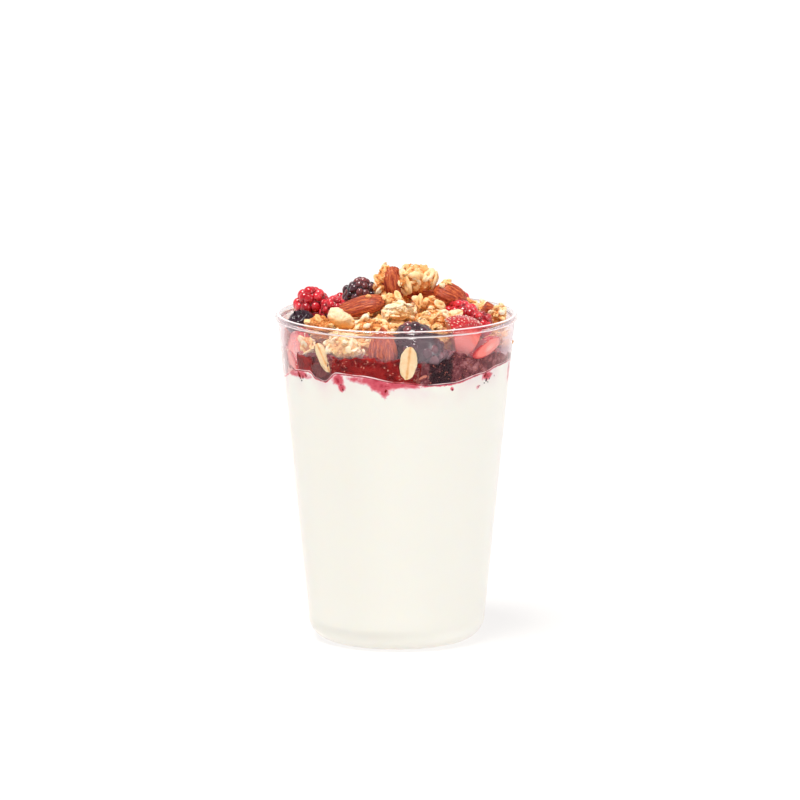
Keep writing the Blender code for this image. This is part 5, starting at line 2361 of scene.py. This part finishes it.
@dataclass(frozen=True)
class Studio:
    """The pale floor, the soft light and the camera."""

    camera_distance: float = 2.5
    camera_elevation: float = 9.85
    lens: float = 340.0
    sensor_width: float = 36.0
    clip_end: float = 100.0
    aim: Triple = (0.00116, 0.0, 0.0797)
    floor_size: float = 40.0
    world_front: Colour = (0.36, 0.35, 0.36, 1.0)
    world_back: Colour = (1.02, 1.02, 1.02, 1.0)
    sun_from: Triple = (-0.24, -0.36, 1.3)
    sun_strength: float = 3.35
    sun_spread: float = 24.0
    sun_colour: Triple = (1.0, 0.98, 0.94)
    # Each lamp's name, place and size in metres, and power in watts.
    lamps: tuple[tuple[str, Triple, tuple[float, float], float], ...] = (
        ("right_fill", (1.15, -0.65, 0.45), (0.3, 1.0), 4.6),
        ("left_strip", (-1.2, -0.62, 0.5), (0.14, 0.9), 0.5)
    )

    def build(self) -> None:
        """Set the stage."""
        floor = Workpiece.start("studio_floor", Primitive.PLANE, size=self.floor_size)
        with floor.editing():
            bpy.ops.mesh.subdivide(number_cuts=3)
        floor.obj.data.materials.append(WhiteFloor().material)
        self.build_world()
        sun = bpy.data.lights.new("key", "SUN")
        sun.energy, sun.angle, sun.color = self.sun_strength, math.radians(self.sun_spread), self.sun_colour
        self.hang(sun, Vector(self.sun_from), -Vector(self.sun_from))
        for name, place, size, power in self.lamps:
            lamp = bpy.data.lights.new(name, "AREA")
            lamp.shape, lamp.energy = "RECTANGLE", power
            lamp.size, lamp.size_y = size
            self.hang(lamp, Vector(place), Vector(self.aim) - Vector(place))
        camera = bpy.data.cameras.new("camera")
        camera.lens, camera.sensor_width, camera.clip_end = self.lens, self.sensor_width, self.clip_end
        lean = math.radians(self.camera_elevation)
        back = Vector((0.0, -math.cos(lean), math.sin(lean)))
        place = Vector(self.aim) + back * self.camera_distance
        bpy.context.scene.camera = self.hang(camera, place, -back)
        bpy.context.scene.view_settings.view_transform = "Standard"

    def hang(self, data: bpy.types.Light | bpy.types.Camera, place: Vector, way: Vector) -> bpy.types.Object:
        """Put a lamp or the camera in its place.

        Args:
            data: The lamp or the camera.
            place: Where it hangs, in metres.
            way: Where it looks.

        Returns:
            Its object.
        """
        obj = bpy.data.objects.new(data.name, data)
        bpy.context.scene.collection.objects.link(obj)
        obj.location = place
        obj.rotation_euler = way.to_track_quat("-Z", "Y").to_euler()
        return obj

    def build_world(self) -> None:
        """Light everything evenly, with a white surround behind and along the horizon."""
        world = bpy.data.worlds.new("white_surround")
        bpy.context.scene.world = world
        world.use_nodes = True
        bench = NodeBench(world.node_tree)
        split = bench.add("ShaderNodeSeparateXYZ")
        bench.feed(split.inputs[0], bench.add("ShaderNodeTexCoord").outputs["Generated"])
        behind = bench.grade(split.outputs["Y"], -0.12, 0.75)
        low = bench.grade(split.outputs["Z"], 0.1, 0.75, (1.0, 0.0))
        horizon = bench.grade(split.outputs["Z"], 0.03, 0.12, (1.0, 0.0))
        share = bench.maths("MAXIMUM", bench.times(behind, low), horizon)
        background = world.node_tree.nodes["Background"]
        bench.feed(background.inputs["Color"], bench.mix(share, self.world_front, self.world_back))


class Parfait:
    """The whole parfait: cup, yogurt, fruit, granola and toppings."""

    def __init__(self) -> None:
        """Make the finishes and the templates."""
        self.shop = Workshop(Finishes(), Larder(), Cup(), Contents())

    def build(self) -> None:
        """Build every piece, from the toppings inwards."""
        shop = self.shop
        for topping in TOPPINGS:
            topping.build(shop)
        yogurt = YogurtFill(shop.cup).build(shop.finishes)
        fruit = self.build_fruit()
        bed = self.build_bed()
        JuiceLine(shop.cup).build(shop.finishes)
        build_fruit_bits(shop)
        for scatter in WALL_SCATTERS:
            scatter.build(shop)
        everything, layers = Contents(), Contents()
        everything.trees += shop.toppings.trees
        for piece in (yogurt, fruit, bed):
            everything.add(piece)
        layers.trees = everything.trees[-2:]
        LooseGranola(shop, layers).build()
        cup = shop.cup.build()
        shop.cup.haze_and_highlights(cup, everything)
        cup.finish(shop.finishes.clear, Slot.CLEAR, "cup")

    def build_fruit(self) -> Workpiece:
        """Build the fruit layer, wet against the wall.

        Returns:
            The layer.
        """
        at_the_wall = Shoreline(((0.0, -0.15),))
        piece = Drum(
            "fruit_compote_layer", self.shop.cup, FRUIT_TOP, YOGURT_EDGE, crown=0.0, set_in=at_the_wall,
            lumps=0.4, under=1.4
        ).build(self.shop.toppings)
        piece.paint("tone", FRUIT_DARKNESS.at(angles_of(piece.points())))
        piece.finish(self.shop.finishes.compote, Slot.COMPOTE, "fruit_layer")
        return piece

    def build_bed(self) -> Workpiece:
        """Build the granola bed's craggy heart.

        Returns:
            The bed.
        """
        top = Shoreline(tuple((angle, value + 4.2) for angle, value in FRUIT_TOP.stops))
        bottom = Shoreline(tuple((angle, value - 1.0) for angle, value in FRUIT_TOP.stops))
        set_in = Shoreline(((-105.0, 1.8), (-85.0, 7.0), (0.0, 9.0), (80.0, 7.0), (100.0, 1.8), (180.0, 1.8)))
        piece = Drum(
            "granola_bed_heart", self.shop.cup, top, bottom, crown=6.5, set_in=set_in
        ).build(self.shop.toppings)
        piece.relief(Grain.CELLS, 2.4, 1.8)
        piece.relief(Grain.CLOUDS, 1.0, 0.9)
        piece.mark_own()
        draws = np.random.default_rng(7)
        piece.paint("tone", 0.22 + 0.24 * draws.random(len(piece.obj.data.vertices)))
        piece.finish(self.shop.finishes.granola, Slot.GRANOLA, "granola_bed")
        return piece


def main() -> None:
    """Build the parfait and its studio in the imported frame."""
    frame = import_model()
    logging.basicConfig(level=logging.INFO, format="%(message)s")
    LOG.info("loaded %d nodes", len(frame["nodes"]))
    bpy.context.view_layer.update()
    Parfait().build()
    Studio().build()


if __name__ == "__main__":
    main()
